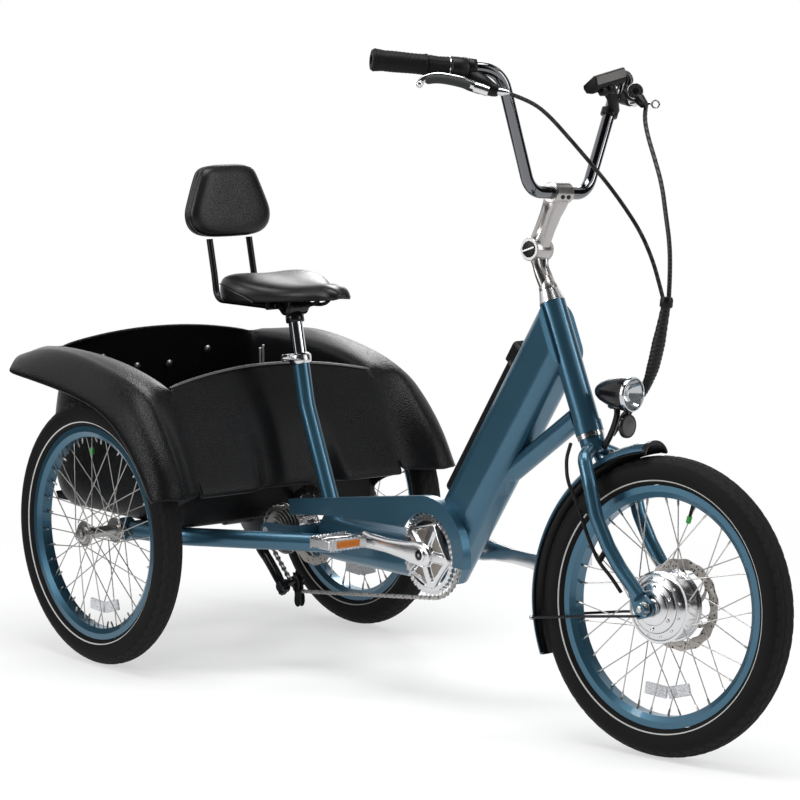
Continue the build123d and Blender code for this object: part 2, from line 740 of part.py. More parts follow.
# the tub's two mudguard arches
rim_y = tub_half_width + 1
arch_stations = [
    ((-250, rim_y, 588), (-252, crest_y - 16, 593), (-235, lip_y, 554)),
    ((-130, rim_y, 588), (-130, crest_y - 8, 600), (-130, lip_y, 544)),
    ((-40, rim_y, 581), (-40, crest_y - 4, 589), (-40, lip_y, 534)),
    ((50, rim_y, 567), (50, crest_y, 571), (50, lip_y, 516)),
    ((front_x, rim_y + 5, 541), (front_x + 7, crest_y, 549), (front_x + 2, lip_y, 488)),
    ((165, rim_y + 27, 495), (190, crest_y + 4, 497), (178, lip_y, 444)),
    ((195, rim_y + 39, 440), (232, crest_y + 8, 448), (210, lip_y, 405)),
    ((tub_lip_x - 12, rim_y + 44, tub_step + 3), (tub_lip_x + 35, crest_y + 12, tub_step + 5),
     (tub_lip_x + 12, lip_y, tub_step + 3))]


def make_arch(outwards, name):
    """One mudguard arch: crowned sections from the tub's rim out to the lip."""
    with BuildPart() as arch:
        for station in arch_stations:
            inner, crest, lip = (Vector(x, outwards * y, z) for x, y, z in station)
            section_plane = Plane(origin=inner, x_dir=lip - inner, z_dir=(lip - inner).cross(crest - inner))
            top = section_plane.to_local_coords(crest)
            reach = (lip - inner).length
            with BuildSketch(section_plane):
                with BuildLine():
                    outer = ThreePointArc((0, 0), (top.X, top.Y), (reach, 0))
                    hollow = ThreePointArc((fender_wall, 0), (top.X, top.Y - fender_wall), (reach - fender_wall, 0))
                    Line(outer @ 0, hollow @ 0)
                    Line(outer @ 1, hollow @ 1)
                make_face()
        loft()
        add(cargo_tub.part, mode=Mode.SUBTRACT)
        keep = arch.part.solids().sort_by(SortBy.VOLUME)[-1]
        add(keep, mode=Mode.REPLACE)
    arch.part.label = name
    return arch


right_arch = make_arch(-1, "right_mudguard")
left_arch = make_arch(1, "left_mudguard")

# ---------------------------------------------------------------- seat
seat_plane = Plane(origin=seat_top, z_dir=seat_up)
with BuildPart() as seat_collar:
    with BuildSketch(seat_plane.offset(-20)):
        Circle(seat_tube_radius + 4)
        Circle(seat_tube_radius + 0.2, mode=Mode.SUBTRACT)
    extrude(amount=20)
    with BuildSketch(seat_plane.offset(-14)):
        with Locations((-seat_tube_radius - 10, 0)):
            Rectangle(14, 18)
    extrude(amount=10)
    with BuildSketch(seat_plane.offset(-14)):
        Circle(seat_tube_radius + 0.2)
    extrude(amount=14, mode=Mode.SUBTRACT)
seat_collar.part.label = "seat_collar"

rail_z = saddle_top - 59
post_length = seatpost_insert + (rail_z - clamp_drop - seat_top.Z) / seat_up.Z
with BuildPart() as seatpost:
    with BuildSketch(seat_plane.offset(-seatpost_insert)):
        Circle(seatpost_radius)
    extrude(amount=post_length)
seatpost.part.label = "seatpost"

post_head = seat_top + seat_up * (post_length - seatpost_insert)
rail_radius = 3.5
with BuildPart() as seat_clamp:
    with BuildSketch(Plane(origin=post_head, z_dir=(0, 0, 1)).offset(-14)):
        Rectangle(46, 40)
    extrude(amount=rail_z + 5 - post_head.Z + 14)
    fillet(seat_clamp.edges(), 4)
    with BuildSketch(seat_plane.offset(-seatpost_insert)):
        Circle(seatpost_radius)
    extrude(amount=post_length, mode=Mode.SUBTRACT)
    with BuildSketch(Plane.XY.offset(rail_z - 9)):
        with Locations((176, 0)):
            Rectangle(20, 2 * (backrest_post_y - backrest_post_radius))
    extrude(amount=6)
    for sign in (-1, 1):
        with BuildLine():
            tube_path([(112, sign * 34, saddle_top - 49), (128, sign * 26, rail_z), (262, sign * 20, rail_z),
                       (300, sign * 12, saddle_top - 48)], [14, 60])
        with BuildSketch(Plane(origin=(112, sign * 34, saddle_top - 49),
                               z_dir=(16, -sign * 8, rail_z - saddle_top + 49))):
            Circle(rail_radius)
        sweep()
seat_clamp.part.label = "seat_clamp"

with BuildPart() as saddle:
    for height, inward in ((saddle_top - 44, 10), (saddle_top - 34, 0), (saddle_top - 12, 0), (saddle_top, 14)):
        half = saddle_width / 2 - inward
        rear = saddle_rear_x + inward
        span = saddle_length - 2 * inward
        with BuildSketch(Plane.XY.offset(height)):
            with BuildLine():
                Spline((rear, 0), (rear + 0.03 * span, 0.68 * half), (rear + 0.13 * span, 0.97 * half),
                       (rear + 0.26 * span, 0.99 * half), (rear + 0.42 * span, 0.82 * half),
                       (rear + 0.58 * span, 0.5 * half), (rear + 0.77 * span, 0.3 * half),
                       (rear + 0.95 * span, 0.24 * half), (rear + span, 0), tangents=[(0, 1), (0, -1)])
                mirror(about=Plane.XZ)
            make_face()
    loft()
saddle.part.label = "saddle"

backrest_lean = 6
backrest_centre = Vector(-6, 0, saddle_top + 128)
with BuildPart() as backrest:
    with BuildSketch(Plane(origin=backrest_centre, x_dir=(0, 1, 0),
                           z_dir=(1, 0, tan(radians(backrest_lean)))).offset(-backrest_thickness / 2)) as pad:
        with BuildLine():
            half = backrest_width / 2
            tall = backrest_height / 2
            Polyline((-0.66 * half, tall), (0.66 * half, tall), (half, -0.3 * tall), (0.82 * half, -tall),
                     (-0.82 * half, -tall), (-half, -0.3 * tall), close=True)
        make_face()
        fillet(pad.vertices(), 24)
    extrude(amount=backrest_thickness)
    fillet(backrest.edges().group_by(Axis.X)[0], 6)
backrest.part.label = "backrest"

with BuildPart() as backrest_posts:
    for sign in (-1, 1):
        y = sign * backrest_post_y
        route = [(188, y, rail_z - 3), (22, y, rail_z - 3), (13, y, saddle_top - 12), (-4, y, saddle_top + 62)]
        with BuildLine():
            tube_path(route, [22, 60])
        with BuildSketch(Plane(origin=route[0], z_dir=(-1, 0, 0))):
            Circle(backrest_post_radius)
        sweep()
    add(backrest.part, mode=Mode.SUBTRACT)
backrest_posts.part.label = "backrest_posts"

# ---------------------------------------------------------------- steering, made straight and turned below
crown_centre = on_axis(head_tube_bottom)


def steer_plane(distance):
    """The plane square to the steering axis, this far above the head tube's lower end."""
    return Plane(origin=crown_centre + steer_up * distance, z_dir=steer_up)


head_length = (head_tube_top - head_tube_bottom) / sin(head)
with BuildPart() as headset:
    with BuildSketch(steer_plane(head_length + running_clearance)) as cup_low:
        Circle(head_tube_radius)
    with BuildSketch(steer_plane(head_length + 22)) as cup_high:
        Circle(head_tube_radius - 5)
    loft()
    with BuildSketch(steer_plane(-9)):
        Circle(head_tube_radius + 1)
    extrude(amount=9 - running_clearance)
    with BuildSketch(steer_plane(-20)):
        Circle(steerer_radius + 0.1)
    extrude(amount=head_length + 60, mode=Mode.SUBTRACT)
headset.part.label = "headset"

guard_crown = 282
guard_edge = 266
guard_half = 32
crown_length = 26.5
crown_foot = steer_plane(-9.5 - crown_length).origin
leg_route = [from_axle(-170, 14, head_tube_bottom - 24), from_axle(-154, 50, head_tube_bottom - 38),
             from_axle(-131, fork_spread, head_tube_bottom - 79), from_axle(-114, fork_spread, tyre_radius + 145),
             from_axle(-84, fork_spread, tyre_radius + 96), from_axle(-56, fork_spread - 1, tyre_radius + 61),
             from_axle(-12, fork_spread - 2, tyre_radius + 19)]
with BuildPart() as fork:
    with BuildSketch(steer_plane(-9.5 - crown_length)):
        Circle(22)
    extrude(amount=crown_length)
    with BuildSketch(Plane(origin=crown_foot, z_dir=front_centre - crown_foot)):
        Circle(6)
    extrude(amount=(front_centre - crown_foot).length - guard_crown - running_clearance)
    with BuildSketch(steer_plane(-20)):
        Circle(steerer_radius)
    extrude(amount=head_length + 42)
    for sign in (-1, 1):
        route = [(x, sign * y, z) for x, y, z in leg_route]
        with BuildLine():
            tube_path(route, [24, 40, 90, 90, 120])
        with BuildSketch(Plane(origin=route[0], z_dir=Vector(*route[1]) - Vector(*route[0]))):
            Circle(fork_leg_radius)
        sweep()
        with BuildSketch(across(sign * 50)):
            with BuildLine():
                CenterArc((wheelbase, tyre_radius), 15, 0, 360)
                CenterArc((wheelbase - 28, tyre_radius + 25), 11, 0, 360)
                CenterArc((wheelbase - 13, tyre_radius - 14), 6, 0, 360)
            make_hull()
        extrude(amount=-sign * 7)
    with BuildSketch(across(-74)):
        with Locations((wheelbase, tyre_radius)):
            Circle(6.7)
    extrude(amount=-148)
    with BuildSketch(across(-74)):
        with Locations((wheelbase, tyre_radius)):
            RegularPolygon(11, 6)
    extrude(amount=-14)
    with BuildSketch(across(60)):
        with Locations((wheelbase, tyre_radius)):
            RegularPolygon(11, 6)
    extrude(amount=-14)
fork.part.label = "fork"

stem_pivot = on_axis(head_tube_top + stem_lift)
stem_base = on_axis(head_tube_top + stem_foot)
bar_clamp_x = stem_pivot.X + stem_reach
bar_clamp_z = stem_pivot.Z + stem_rise
with BuildPart() as stem:
    with BuildSketch(across(-19)):
        with BuildLine():
            CenterArc((stem_pivot.X, stem_pivot.Z), 20, 0, 360)
            CenterArc((stem_base.X, stem_base.Z), 15, 0, 360)
        make_hull()
    extrude(amount=-38)
    with BuildSketch(steer_plane(head_length + 22.3)):
        Circle(15)
    extrude(amount=30)
    with BuildSketch(across(-14)):
        with BuildLine():
            CenterArc((stem_pivot.X, stem_pivot.Z), 17, 0, 360)
            CenterArc((bar_clamp_x, bar_clamp_z), 17, 0, 360)
        make_hull()
    extrude(amount=-28)
    with BuildSketch(across(-25)):
        with Locations((stem_pivot.X, stem_pivot.Z)):
            Circle(17)
    extrude(amount=-50)
    with BuildSketch(across(-22)):
        with Locations((bar_clamp_x, bar_clamp_z)):
            Circle(18)
    extrude(amount=-44)
    with BuildSketch(across(-22)):
        with Locations((bar_clamp_x, bar_clamp_z)):
            Circle(bar_radius + 0.1)
    extrude(amount=-44, mode=Mode.SUBTRACT)
    with BuildSketch(steer_plane(-20)):
        Circle(steerer_radius + 0.1)
    extrude(amount=head_length + 42.3, mode=Mode.SUBTRACT)
stem.part.label = "stem"

sweep_back = radians(grip_sweep)
bar_top = Vector(bar_clamp_x - 8, bar_half_bottom + bar_flare, bar_clamp_z + bar_rise)
grip_way = Vector(-sin(sweep_back), cos(sweep_back), tan(radians(grip_lift))).normalized()
bar_end = bar_top + grip_way * grip_arm


def mirrored(point, sign):
    """The point, or its mirror image on the right side."""
    return Vector(point.X, sign * point.Y, point.Z)


bar_foot = Vector(bar_clamp_x, bar_half_bottom, bar_clamp_z)
bar_route = [mirrored(bar_end, -1), mirrored(bar_top, -1), mirrored(bar_foot, -1), bar_foot, bar_top, bar_end]
with BuildPart() as handlebar:
    with BuildLine():
        tube_path(bar_route, [48, 42, 42, 48])
    with BuildSketch(Plane(origin=bar_route[0], z_dir=bar_route[1] - bar_route[0])):
        Circle(bar_radius)
    sweep()
handlebar.part.label = "handlebar"

with BuildPart() as grips:
    for sign in (-1, 1):
        end = mirrored(bar_end, sign)
        way = (mirrored(bar_top, sign) - end).normalized()
        with BuildSketch(Plane(origin=end - way * 4, z_dir=way)):
            Circle(grip_radius)
        extrude(amount=grip_length)
        with BuildSketch(Plane(origin=end, z_dir=way)):
            Circle(bar_radius + 0.1)
        extrude(amount=grip_length, mode=Mode.SUBTRACT)
grips.part.label = "grips"

right_route = [from_axle(*point) for point in (
    (-244, -190, 1109), (-233, -153, 1100), (-220, -120, 1080), (-198, -88, 1043), (-170, -60, 1002),
    (-143, -35, 962), (-117, -15, 921), (-96, -1, 885), (-77, 9, 842), (-65, 15, 804), (-57, 21.5, 771))]
left_route = [from_axle(*point) for point in (
    (-244, 186, 1107), (-224, 155, 1089), (-194, 128, 1055), (-160, 110, 1011), (-127, 90, 969),
    (-100, 70, 918), (-75, 53, 868), (-61, 40, 814), (-54, 30.5, 771.5))]
bundle_route = [from_axle(*point) for point in (
    (-55, 26, 769), (-61, 26, 731), (-71, 29, 688), (-84, 36, 652), (-100, 42, 622), (-120, 42, 594),
    (-136, 32, 567), (-150, 17, 536))]
motor_route = [from_axle(*point) for point in (
    (-201, -30, 516), (-193, -50, 492), (-172, -71, 457), (-144, -73, 417), (-116, -73, 361), (-92, -73, 326),
    (-65, -73, 305), (-41, -73, 281))]
lever_y = bar_top.Y + 20
lever_z = bar_clamp_z + 158
with BuildPart() as brake_levers:
    for sign in (-1, 1):
        end = mirrored(bar_end, sign)
        way = (mirrored(bar_top, sign) - end).normalized()
        with BuildSketch(Plane(origin=end + way * (grip_length + 2), z_dir=way)):
            Circle(bar_radius + 6)
        extrude(amount=26)
        with BuildSketch(Plane.XY.offset(lever_z)):
            with BuildLine():
                Polyline((bar_clamp_x + 34, sign * lever_y), (bar_clamp_x + 34, sign * (lever_y + 16)),
                         (bar_clamp_x - 16, sign * (lever_y + 30)), (bar_clamp_x - 36, sign * (lever_y + 12)),
                         close=True)
            make_face()
        extrude(amount=44)
        with BuildSketch(Plane(origin=end, z_dir=way)):
            Circle(bar_radius + 0.1)
        extrude(amount=grip_length + 40, mode=Mode.SUBTRACT)
        add(handlebar.part, mode=Mode.SUBTRACT)
        for exit_point, next_point in (cable_route[:2] for cable_route in (right_route, left_route)):
            if exit_point[1] * sign > 0:
                outlet = Vector(*exit_point)
                outlet_way = (Vector(*next_point) - outlet).normalized()
                with BuildSketch(Plane(origin=outlet - outlet_way * 14, z_dir=outlet_way)):
                    Circle(5.5)
                extrude(amount=14)
        blade = [(bar_clamp_x + 9, sign * (lever_y + 19), lever_z + 6),
                 (bar_clamp_x - 39, sign * (lever_y + 56), lever_z),
                 (bar_clamp_x - 79, sign * (lever_y + 106), lever_z + 10)]
        with BuildLine():
            tube_path(blade, 120)
        with BuildSketch(Plane(origin=blade[0], z_dir=Vector(*blade[1]) - Vector(*blade[0]))):
            Circle(4.5)
        sweep()
        with Locations(blade[2]):
            Sphere(7)
brake_levers.part.label = "brake_levers"

mount_way = (bar_top - bar_foot).normalized()
mount_foot = bar_foot + mount_way * mount_reach
display_foot = Vector(bar_clamp_x + 6, bar_half_bottom + 42, bar_top.Z + 10)
with BuildPart() as display:
    with BuildSketch(Plane(origin=mount_foot, z_dir=mount_way)):
        Circle(bar_radius + 4)
    extrude(amount=mount_length)
    with BuildSketch(Plane(origin=mount_foot + mount_way * mount_length / 2, z_dir=display_foot - mount_foot)):
        Circle(mount_length / 2)
    extrude(amount=(display_foot - mount_foot).length)
    with BuildSketch(Plane(origin=mount_foot - mount_way, z_dir=mount_way)):
        Circle(bar_radius + 0.1)
    extrude(amount=3 * mount_length, mode=Mode.SUBTRACT)
    with BuildSketch(Plane(origin=display_foot, x_dir=(0.2, 1, 0.12), z_dir=(-0.45, 0, 0.89))):
        RectangleRounded(display_width, display_depth, 6)
    extrude(amount=14)
display.part.label = "display"

lamp_centre = Vector(from_axle(-175, 0, 610))
with BuildPart() as headlight:
    with BuildSketch(Plane(origin=lamp_centre, x_dir=(1, 0, 0), z_dir=(0, -1, 0))):
        with BuildLine():
            shell_line = Spline((0, 0), (12, 15), (40, 26), (72, 30), tangents=[(0, 1), (1, 0)])
            Polyline((72, 30), (80, 30), (82, 0))
            Line((82, 0), (0, 0))
        make_face()
    revolve(axis=Axis(lamp_centre, (1, 0, 0)))
headlight.part.label = "headlight"

with BuildPart() as lamp_bracket:
    with BuildLine():
        tube_path([from_axle(-150, 0, 520), from_axle(-130, 0, 520), from_axle(-122, 0, 550),
                   from_axle(-126, 0, 592)], [14, 20])
    with BuildSketch(Plane(origin=from_axle(-150, 0, 520), z_dir=(1, 0, 0))):
        Circle(5)
    sweep()
    with BuildSketch(Plane(origin=from_axle(-120, 0, 554), z_dir=(1, 0, 0))):
        Circle(20)
    extrude(amount=9)
    add(headlight.part, mode=Mode.SUBTRACT)
lamp_bracket.part.label = "lamp_bracket"

with BuildPart() as front_fender:
    with BuildSketch(Plane(origin=front_centre, x_dir=(cos(radians(99)), 0, sin(radians(99))),
                           z_dir=(-sin(radians(99)), 0, cos(radians(99))))):
        with BuildLine():
            crown_arc = ThreePointArc((guard_edge, -guard_half), (guard_crown, 0), (guard_edge, guard_half))
            inner_arc = ThreePointArc((guard_edge - 1, -guard_half + 2), (guard_crown - 2, 0),
                                      (guard_edge - 1, guard_half - 2))
            Line(crown_arc @ 0, inner_arc @ 0)
            Line(crown_arc @ 1, inner_arc @ 1)
        make_face()
    revolve(axis=Axis(front_centre, (0, -1, 0)), revolution_arc=106)
front_fender.part.label = "front_fender"

with BuildPart() as fender_stays:
    for sign in (-1, 1):
        with BuildLine():
            stay_line = Polyline(from_axle(-262, sign * (guard_half + 2.8), tyre_radius - 52),
                                 from_axle(-134, sign * (fork_spread - 2), tyre_radius - 31),
                                 from_axle(-12, sign * fork_spread, tyre_radius - 14))
        with BuildSketch(Plane(origin=stay_line @ 0, z_dir=stay_line % 0)):
            Circle(2.5)
        sweep(transition=Transition.ROUND)
fender_stays.part.label = "fender_stays"

caliper_angle = radians(166)
caliper_x = wheelbase + 72 * cos(caliper_angle)
caliper_z = tyre_radius + 72 * sin(caliper_angle)
with BuildPart() as front_caliper:
    with BuildSketch(across(front_rotor_y - 13)):
        with Locations(Location((caliper_x, caliper_z), 76)):
            RectangleRounded(44, 30, 5)
    extrude(amount=-26)
    with BuildSketch(across(front_rotor_y - 2.5)):
        with Locations((wheelbase, tyre_radius)):
            Circle(rotor_radius + 4)
    extrude(amount=-5, mode=Mode.SUBTRACT)
    with BuildSketch(across(fork_spread - fork_leg_radius)):
        with BuildLine():
            CenterArc((caliper_x, caliper_z), 12, 0, 360)
            CenterArc((caliper_x + 26, caliper_z + 32), 7, 0, 360)
        make_hull()
    extrude(amount=-8)
    add(fork.part, mode=Mode.SUBTRACT)
    keep = front_caliper.part.solids().sort_by(SortBy.VOLUME)[-1]
    add(keep, mode=Mode.REPLACE)
front_caliper.part.label = "front_caliper"


def cord_radii(points):
    """The largest arcs that the runs of a loose cord allow."""
    radii = []
    for before, corner, after in zip(points, points[1:], points[2:]):
        first = Vector(*corner) - Vector(*before)
        second = Vector(*after) - Vector(*corner)
        half_turn = radians(first.get_angle(second)) / 2
        radii.append(0.45 * min(first.length, second.length) / tan(half_turn))
    return radii


def make_cord(points, radius, name):
    """A loose cord's tube along its hand-set route."""
    radii = cord_radii(points)
    print(name, "bend radii", [round(value) for value in radii])
    with BuildPart() as cord:
        with BuildLine():
            line = FilletPolyline(*points, radius=radii)
        with BuildSketch(Plane(origin=points[0], z_dir=Vector(*points[1]) - Vector(*points[0]))):
            Circle(radius)
        sweep()
    print(name, "volume ratio", round(cord.part.volume / (pi * radius ** 2 * line.length), 4))
    cord.part.label = name
    return cord


right_cable = make_cord(right_route, 3.6, "right_cable")
left_cable = make_cord(left_route, 4, "left_cable")
cable_bundle = make_cord(bundle_route, 6, "cable_bundle")
with BuildPart() as motor_cable:
    add(make_cord(motor_route, 3.2, "motor_cable").part)
    for clip, leg in ((3, 3), (5, 4)):
        clip_start = Vector(*motor_route[clip])
        leg_point = Vector(leg_route[leg][0], -leg_route[leg][1], leg_route[leg][2])
        with BuildSketch(Plane(origin=clip_start, z_dir=leg_point - clip_start)):
            Circle(5)
        extrude(amount=(leg_point - clip_start).length)
    add(fork.part, mode=Mode.SUBTRACT)
    keep = motor_cable.part.solids().sort_by(SortBy.VOLUME)[-1]
    add(keep, mode=Mode.REPLACE)
motor_cable.part.label = "motor_cable"

steering_pieces = [fork, headset, stem, handlebar, grips, brake_levers, display, headlight,
                   lamp_bracket, front_fender, fender_stays, front_caliper, right_cable, left_cable,
                   cable_bundle, motor_cable]
front_wheel_pieces = [front_tyre, front_rim, front_spokes, front_hub, front_rotor]
frame_pieces = [head_tube, down_tube, battery_rail, main_beam, bottom_bracket, brace_tube,
                seat_tube, right_stay, left_stay, chain, chain_guard, jackshaft, jackshaft_carrier, cassette,
                rear_rotor, derailleur, axle_drive, cargo_tub, right_arch, left_arch, seat_collar]
seat_pieces = [seatpost, seat_clamp, saddle, backrest, backrest_posts]
crank_pieces = [cranks, chainring, right_pedal, left_pedal]

turned = [(piece, piece.part.rotate(steering_axis, steering_rest)) for piece in steering_pieces + front_wheel_pieces]
still = [(piece, piece.part) for piece in frame_pieces + seat_pieces + crank_pieces + rear_pieces]
shapes = []
for piece, shape in turned + still:
    shape.label = piece.part.label
    shapes.append(shape)

box = Compound(children=[Compound(shape.solids()) for shape in shapes]).bounding_box()
origin_x = (box.min.X + box.max.X) / 2
print("box", box.min, box.max, "origin_x", origin_x)

os.makedirs("parts", exist_ok=True)
for shape in shapes:
    export_step(shape.moved(Location((-origin_x, 0, 0))), f"parts/{shape.label}.step")
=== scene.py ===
import json
from math import atan2, cos, pi, radians, sin, sqrt, tan

import bmesh
import bpy
from mathutils import Matrix, Vector


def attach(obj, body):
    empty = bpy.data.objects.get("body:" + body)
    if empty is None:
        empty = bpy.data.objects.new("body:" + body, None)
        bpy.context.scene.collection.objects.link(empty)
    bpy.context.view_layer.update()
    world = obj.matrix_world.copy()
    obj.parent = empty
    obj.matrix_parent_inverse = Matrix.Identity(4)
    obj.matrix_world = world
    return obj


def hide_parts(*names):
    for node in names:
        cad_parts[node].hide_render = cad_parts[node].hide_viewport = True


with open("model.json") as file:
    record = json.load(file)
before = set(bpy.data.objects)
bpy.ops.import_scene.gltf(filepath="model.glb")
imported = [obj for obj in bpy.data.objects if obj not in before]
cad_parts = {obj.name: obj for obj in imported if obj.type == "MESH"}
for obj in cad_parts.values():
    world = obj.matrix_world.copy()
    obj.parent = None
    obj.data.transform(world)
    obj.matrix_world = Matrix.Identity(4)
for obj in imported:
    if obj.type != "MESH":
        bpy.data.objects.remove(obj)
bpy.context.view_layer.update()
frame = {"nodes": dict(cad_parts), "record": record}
nodes = frame["nodes"]
scene = bpy.context.scene

# The maker's lengths are in millimetres from the rear axle, as on the drawing; the model's are in metres.
REAR_AXLE = 591.212
FRONT_AXLE = 1234
WHEEL_Z = 257.0
TRACK = 316.5
HEAD_ANGLE = radians(65.7)
HEAD_AXIS = 1175.85
REST_TURN = radians(9.93)
X, Y, Z = Vector((1, 0, 0)), Vector((0, 1, 0)), Vector((0, 0, 1))
STEER_UP = Vector((-cos(HEAD_ANGLE), 0, sin(HEAD_ANGLE)))


def at(x, y, z):
    """A point of the drawing, in metres."""
    return Vector(((x - REAR_AXLE) / 1000, y / 1000, z / 1000))


# Everything on the fork is drawn with the bars straight, and turned to where they rest.
FORK_POINT = at(HEAD_AXIS, 0, WHEEL_Z)
TURNED = (Matrix.Translation(FORK_POINT) @ Matrix.Rotation(REST_TURN, 4, STEER_UP)
          @ Matrix.Translation(-FORK_POINT))
TURNED_BODIES = ("steering", "front_wheel")
SIDES = (("right", -1), ("left", 1))


# ---------------------------------------------------------------- finishes
class Shade:
    """A number that varies over a surface; Python's operators add the nodes that work it out."""

    def __init__(self, nodes, socket):
        self.nodes = nodes
        self.socket = socket

    def maths(self, operation, *values):
        return self.nodes.node("Math", {"operation": operation}, dict(enumerate(values)))

    def __add__(self, other):
        return self.maths("ADD", self, other)

    __radd__ = __add__

    def __sub__(self, other):
        return self.maths("SUBTRACT", self, other)

    def __rsub__(self, other):
        return self.maths("SUBTRACT", other, self)

    def __mul__(self, other):
        return self.maths("MULTIPLY", self, other)

    __rmul__ = __mul__

    def __gt__(self, other):
        return self.maths("GREATER_THAN", self, other)

    def __lt__(self, other):
        return self.maths("LESS_THAN", self, other)

    def distance(self, other):
        return self.maths("ABSOLUTE", self - other)

    def either(self, other):
        return self.maths("MAXIMUM", self, other)


class Nodes:
    """A tree of shader nodes, with one way to add to it."""

    def __init__(self, tree):
        self.tree = tree

    def feed(self, socket, value):
        if isinstance(value, Shade):
            self.tree.links.new(value.socket, socket)
        else:
            socket.default_value = value

    def node(self, kind, settings=None, sockets=None, out=0):
        """Any node: its settings first, then its sockets; gives one of its outputs."""
        made = self.tree.nodes.new("ShaderNode" + kind)
        for name, value in (settings or {}).items():
            setattr(made, name, value)
        for name, value in (sockets or {}).items():
            self.feed(made.inputs[name], value)
        return Shade(self, made.outputs[out])

    def seen_rays(self):
        """One where a ray comes from the camera, a reflection or through glass."""
        camera, glossy, through = [self.node("LightPath", out=f"Is {kind} Ray")
                                   for kind in ("Camera", "Glossy", "Transmission")]
        return camera.either(glossy).either(through)

    def close(self, output, factor, low, high):
        """Mixes two shaders by a factor, as the tree's result."""
        mixed = self.node("MixShader", None, {0: factor, 1: low, 2: high})
        self.feed(self.tree.nodes[output].inputs["Surface"], mixed)


class Finish(Nodes):
    """One surface finish: a material, the nodes behind it, and the slot that its pieces take."""

    def __init__(self, name, color, roughness, metallic=0.0, coat=0.0, coat_roughness=0.05, specular=0.5,
                 slot=None):
        self.material = bpy.data.materials.new(name)
        self.material.use_nodes = True
        super().__init__(self.material.node_tree)
        self.shader = self.tree.nodes["Principled BSDF"]
        self.slot = slot or name
        self.set("Base Color", (*color, 1))
        self.set("Roughness", roughness)
        self.set("Metallic", metallic)
        self.set("Coat Weight", coat)
        self.set("Coat Roughness", coat_roughness)
        self.set("Specular IOR Level", specular)

    def set(self, name, value):
        self.feed(self.shader.inputs[name], value)

    def place(self):
        return self.node("TexCoord", out="Object")

    def noise(self, scale, detail=2.0):
        return self.node("TexNoise", None, {"Vector": self.place(), "Scale": scale, "Detail": detail})

    def cells(self, scale):
        return self.node("TexVoronoi", None, {"Vector": self.place(), "Scale": scale})

    def bands(self, direction, scale, distortion):
        return self.node("TexWave", {"wave_type": "BANDS", "bands_direction": direction},
                         {"Vector": self.place(), "Scale": scale, "Distortion": distortion})

    def blend(self, factor, low, high):
        """A colour between two, by a factor."""
        low, high = [color if isinstance(color, Shade) else (*color, 1) for color in (low, high)]
        return self.node("Mix", {"data_type": "RGBA"}, {0: factor, 6: low, 7: high}, out=2)

    def tint(self, factor, low, high):
        self.set("Base Color", self.blend(factor, low, high))

    def raise_by(self, height, distance, strength=1.0):
        self.set("Normal", self.node("Bump", None, {"Height": height, "Distance": distance,
                                                    "Strength": strength}))

    def on(self, obj):
        obj.data.materials.clear()
        obj.data.materials.append(self.material)
        return obj


def metal_paint(name, color, dark):
    """Metallic paint under clear coat: fine flake, a slow drift of tone and faint orange peel."""
    paint = Finish(name, color, 0.33, 0.72, 0.4, 0.06)
    flake = paint.noise(2600, 1.0)
    drift = paint.noise(7, 3.0)
    paint.tint(flake * 0.35 + drift * 0.5, dark, color)
    paint.set("Roughness", 0.27 + flake * 0.12)
    paint.raise_by(paint.noise(220, 1.0) * 0.6 + flake * 0.4, 0.00006, 0.5)
    return paint


def bright_metal(name, color, roughness, scratch=0.12, grain=(60, 60, 900), slot=None):
    """Polished or drawn metal: faint directional marks that break the reflections."""
    metal = Finish(name, color, roughness, 1.0, slot=slot)
    stretched = metal.node("Mapping", None, {"Vector": metal.place(), "Scale": grain})
    marks = metal.node("TexNoise", None, {"Vector": stretched, "Scale": 6.0, "Detail": 3.0})
    smudge = metal.noise(14, 3.0)
    metal.set("Roughness", roughness + marks * scratch * 0.5 + smudge * scratch * 0.5)
    metal.raise_by(marks, 0.00002, 0.35)
    return metal


def moulded(name, color, roughness, pebble_scale, pebble_height, specular, wear_and_sheen=(0.014, 0.014, 0.015),
            slot=None):
    """Moulded plastic with a pebbled skin, a little paler and smoother where it has been rubbed; on the tub's rim
    bead both tones are a painted highlight.
    """
    plastic = Finish(name, color, roughness, specular=specular, slot=slot)
    pebble = plastic.node("TexVoronoi", {"feature": "SMOOTH_F1"},
                          {"Vector": plastic.place(), "Scale": pebble_scale, "Smoothness": 0.6})
    cloud = plastic.noise(11, 4.0)
    plastic.tint(cloud * 0.35, color, wear_and_sheen)
    plastic.set("Roughness", roughness - 0.06 + cloud * 0.14)
    plastic.raise_by(1 - pebble, pebble_height, 0.8)
    return plastic


def reflector(name, color, roughness, scale, low, high, height):
    """Moulded prisms under a clear face."""
    face = Finish(name, color, roughness, slot="polished_alloy")
    prism = face.cells(scale)
    face.tint(prism, low, high)
    face.raise_by(prism, height)
    return face


FRAME_PAINT = metal_paint("frame_paint", (0.062, 0.165, 0.240), (0.026, 0.085, 0.135))
ALLOY = bright_metal("polished_alloy", (0.68, 0.68, 0.69), 0.16)
CHROME = bright_metal("chromed_steel", (0.55, 0.57, 0.59), 0.07, 0.05)
# chrome with its colour darkened as a painted dark reflection, for the handlebar
CHROME_PAINTED_DARK = bright_metal("chrome_painted_dark_reflection", (0.17, 0.175, 0.185), 0.07, 0.05, slot="chromed_steel")
STEEL = bright_metal("bare_steel", (0.48, 0.47, 0.455), 0.24, 0.18)
BLACK_ALLOY = bright_metal("black_alloy", (0.028, 0.029, 0.032), 0.3, 0.15)
FORGED = bright_metal("forged_alloy", (0.44, 0.425, 0.415), 0.22, 0.14, slot="polished_alloy")
WINDOW_STEEL = bright_metal("window_steel", (0.26, 0.235, 0.21), 0.3, 0.3, (60, 900, 60), slot="bare_steel")
TUB_PLASTIC = moulded("black_tub", (0.0035, 0.0036, 0.004), 0.30, 430, 0.0007, 0.16, (0.013, 0.0135, 0.015))
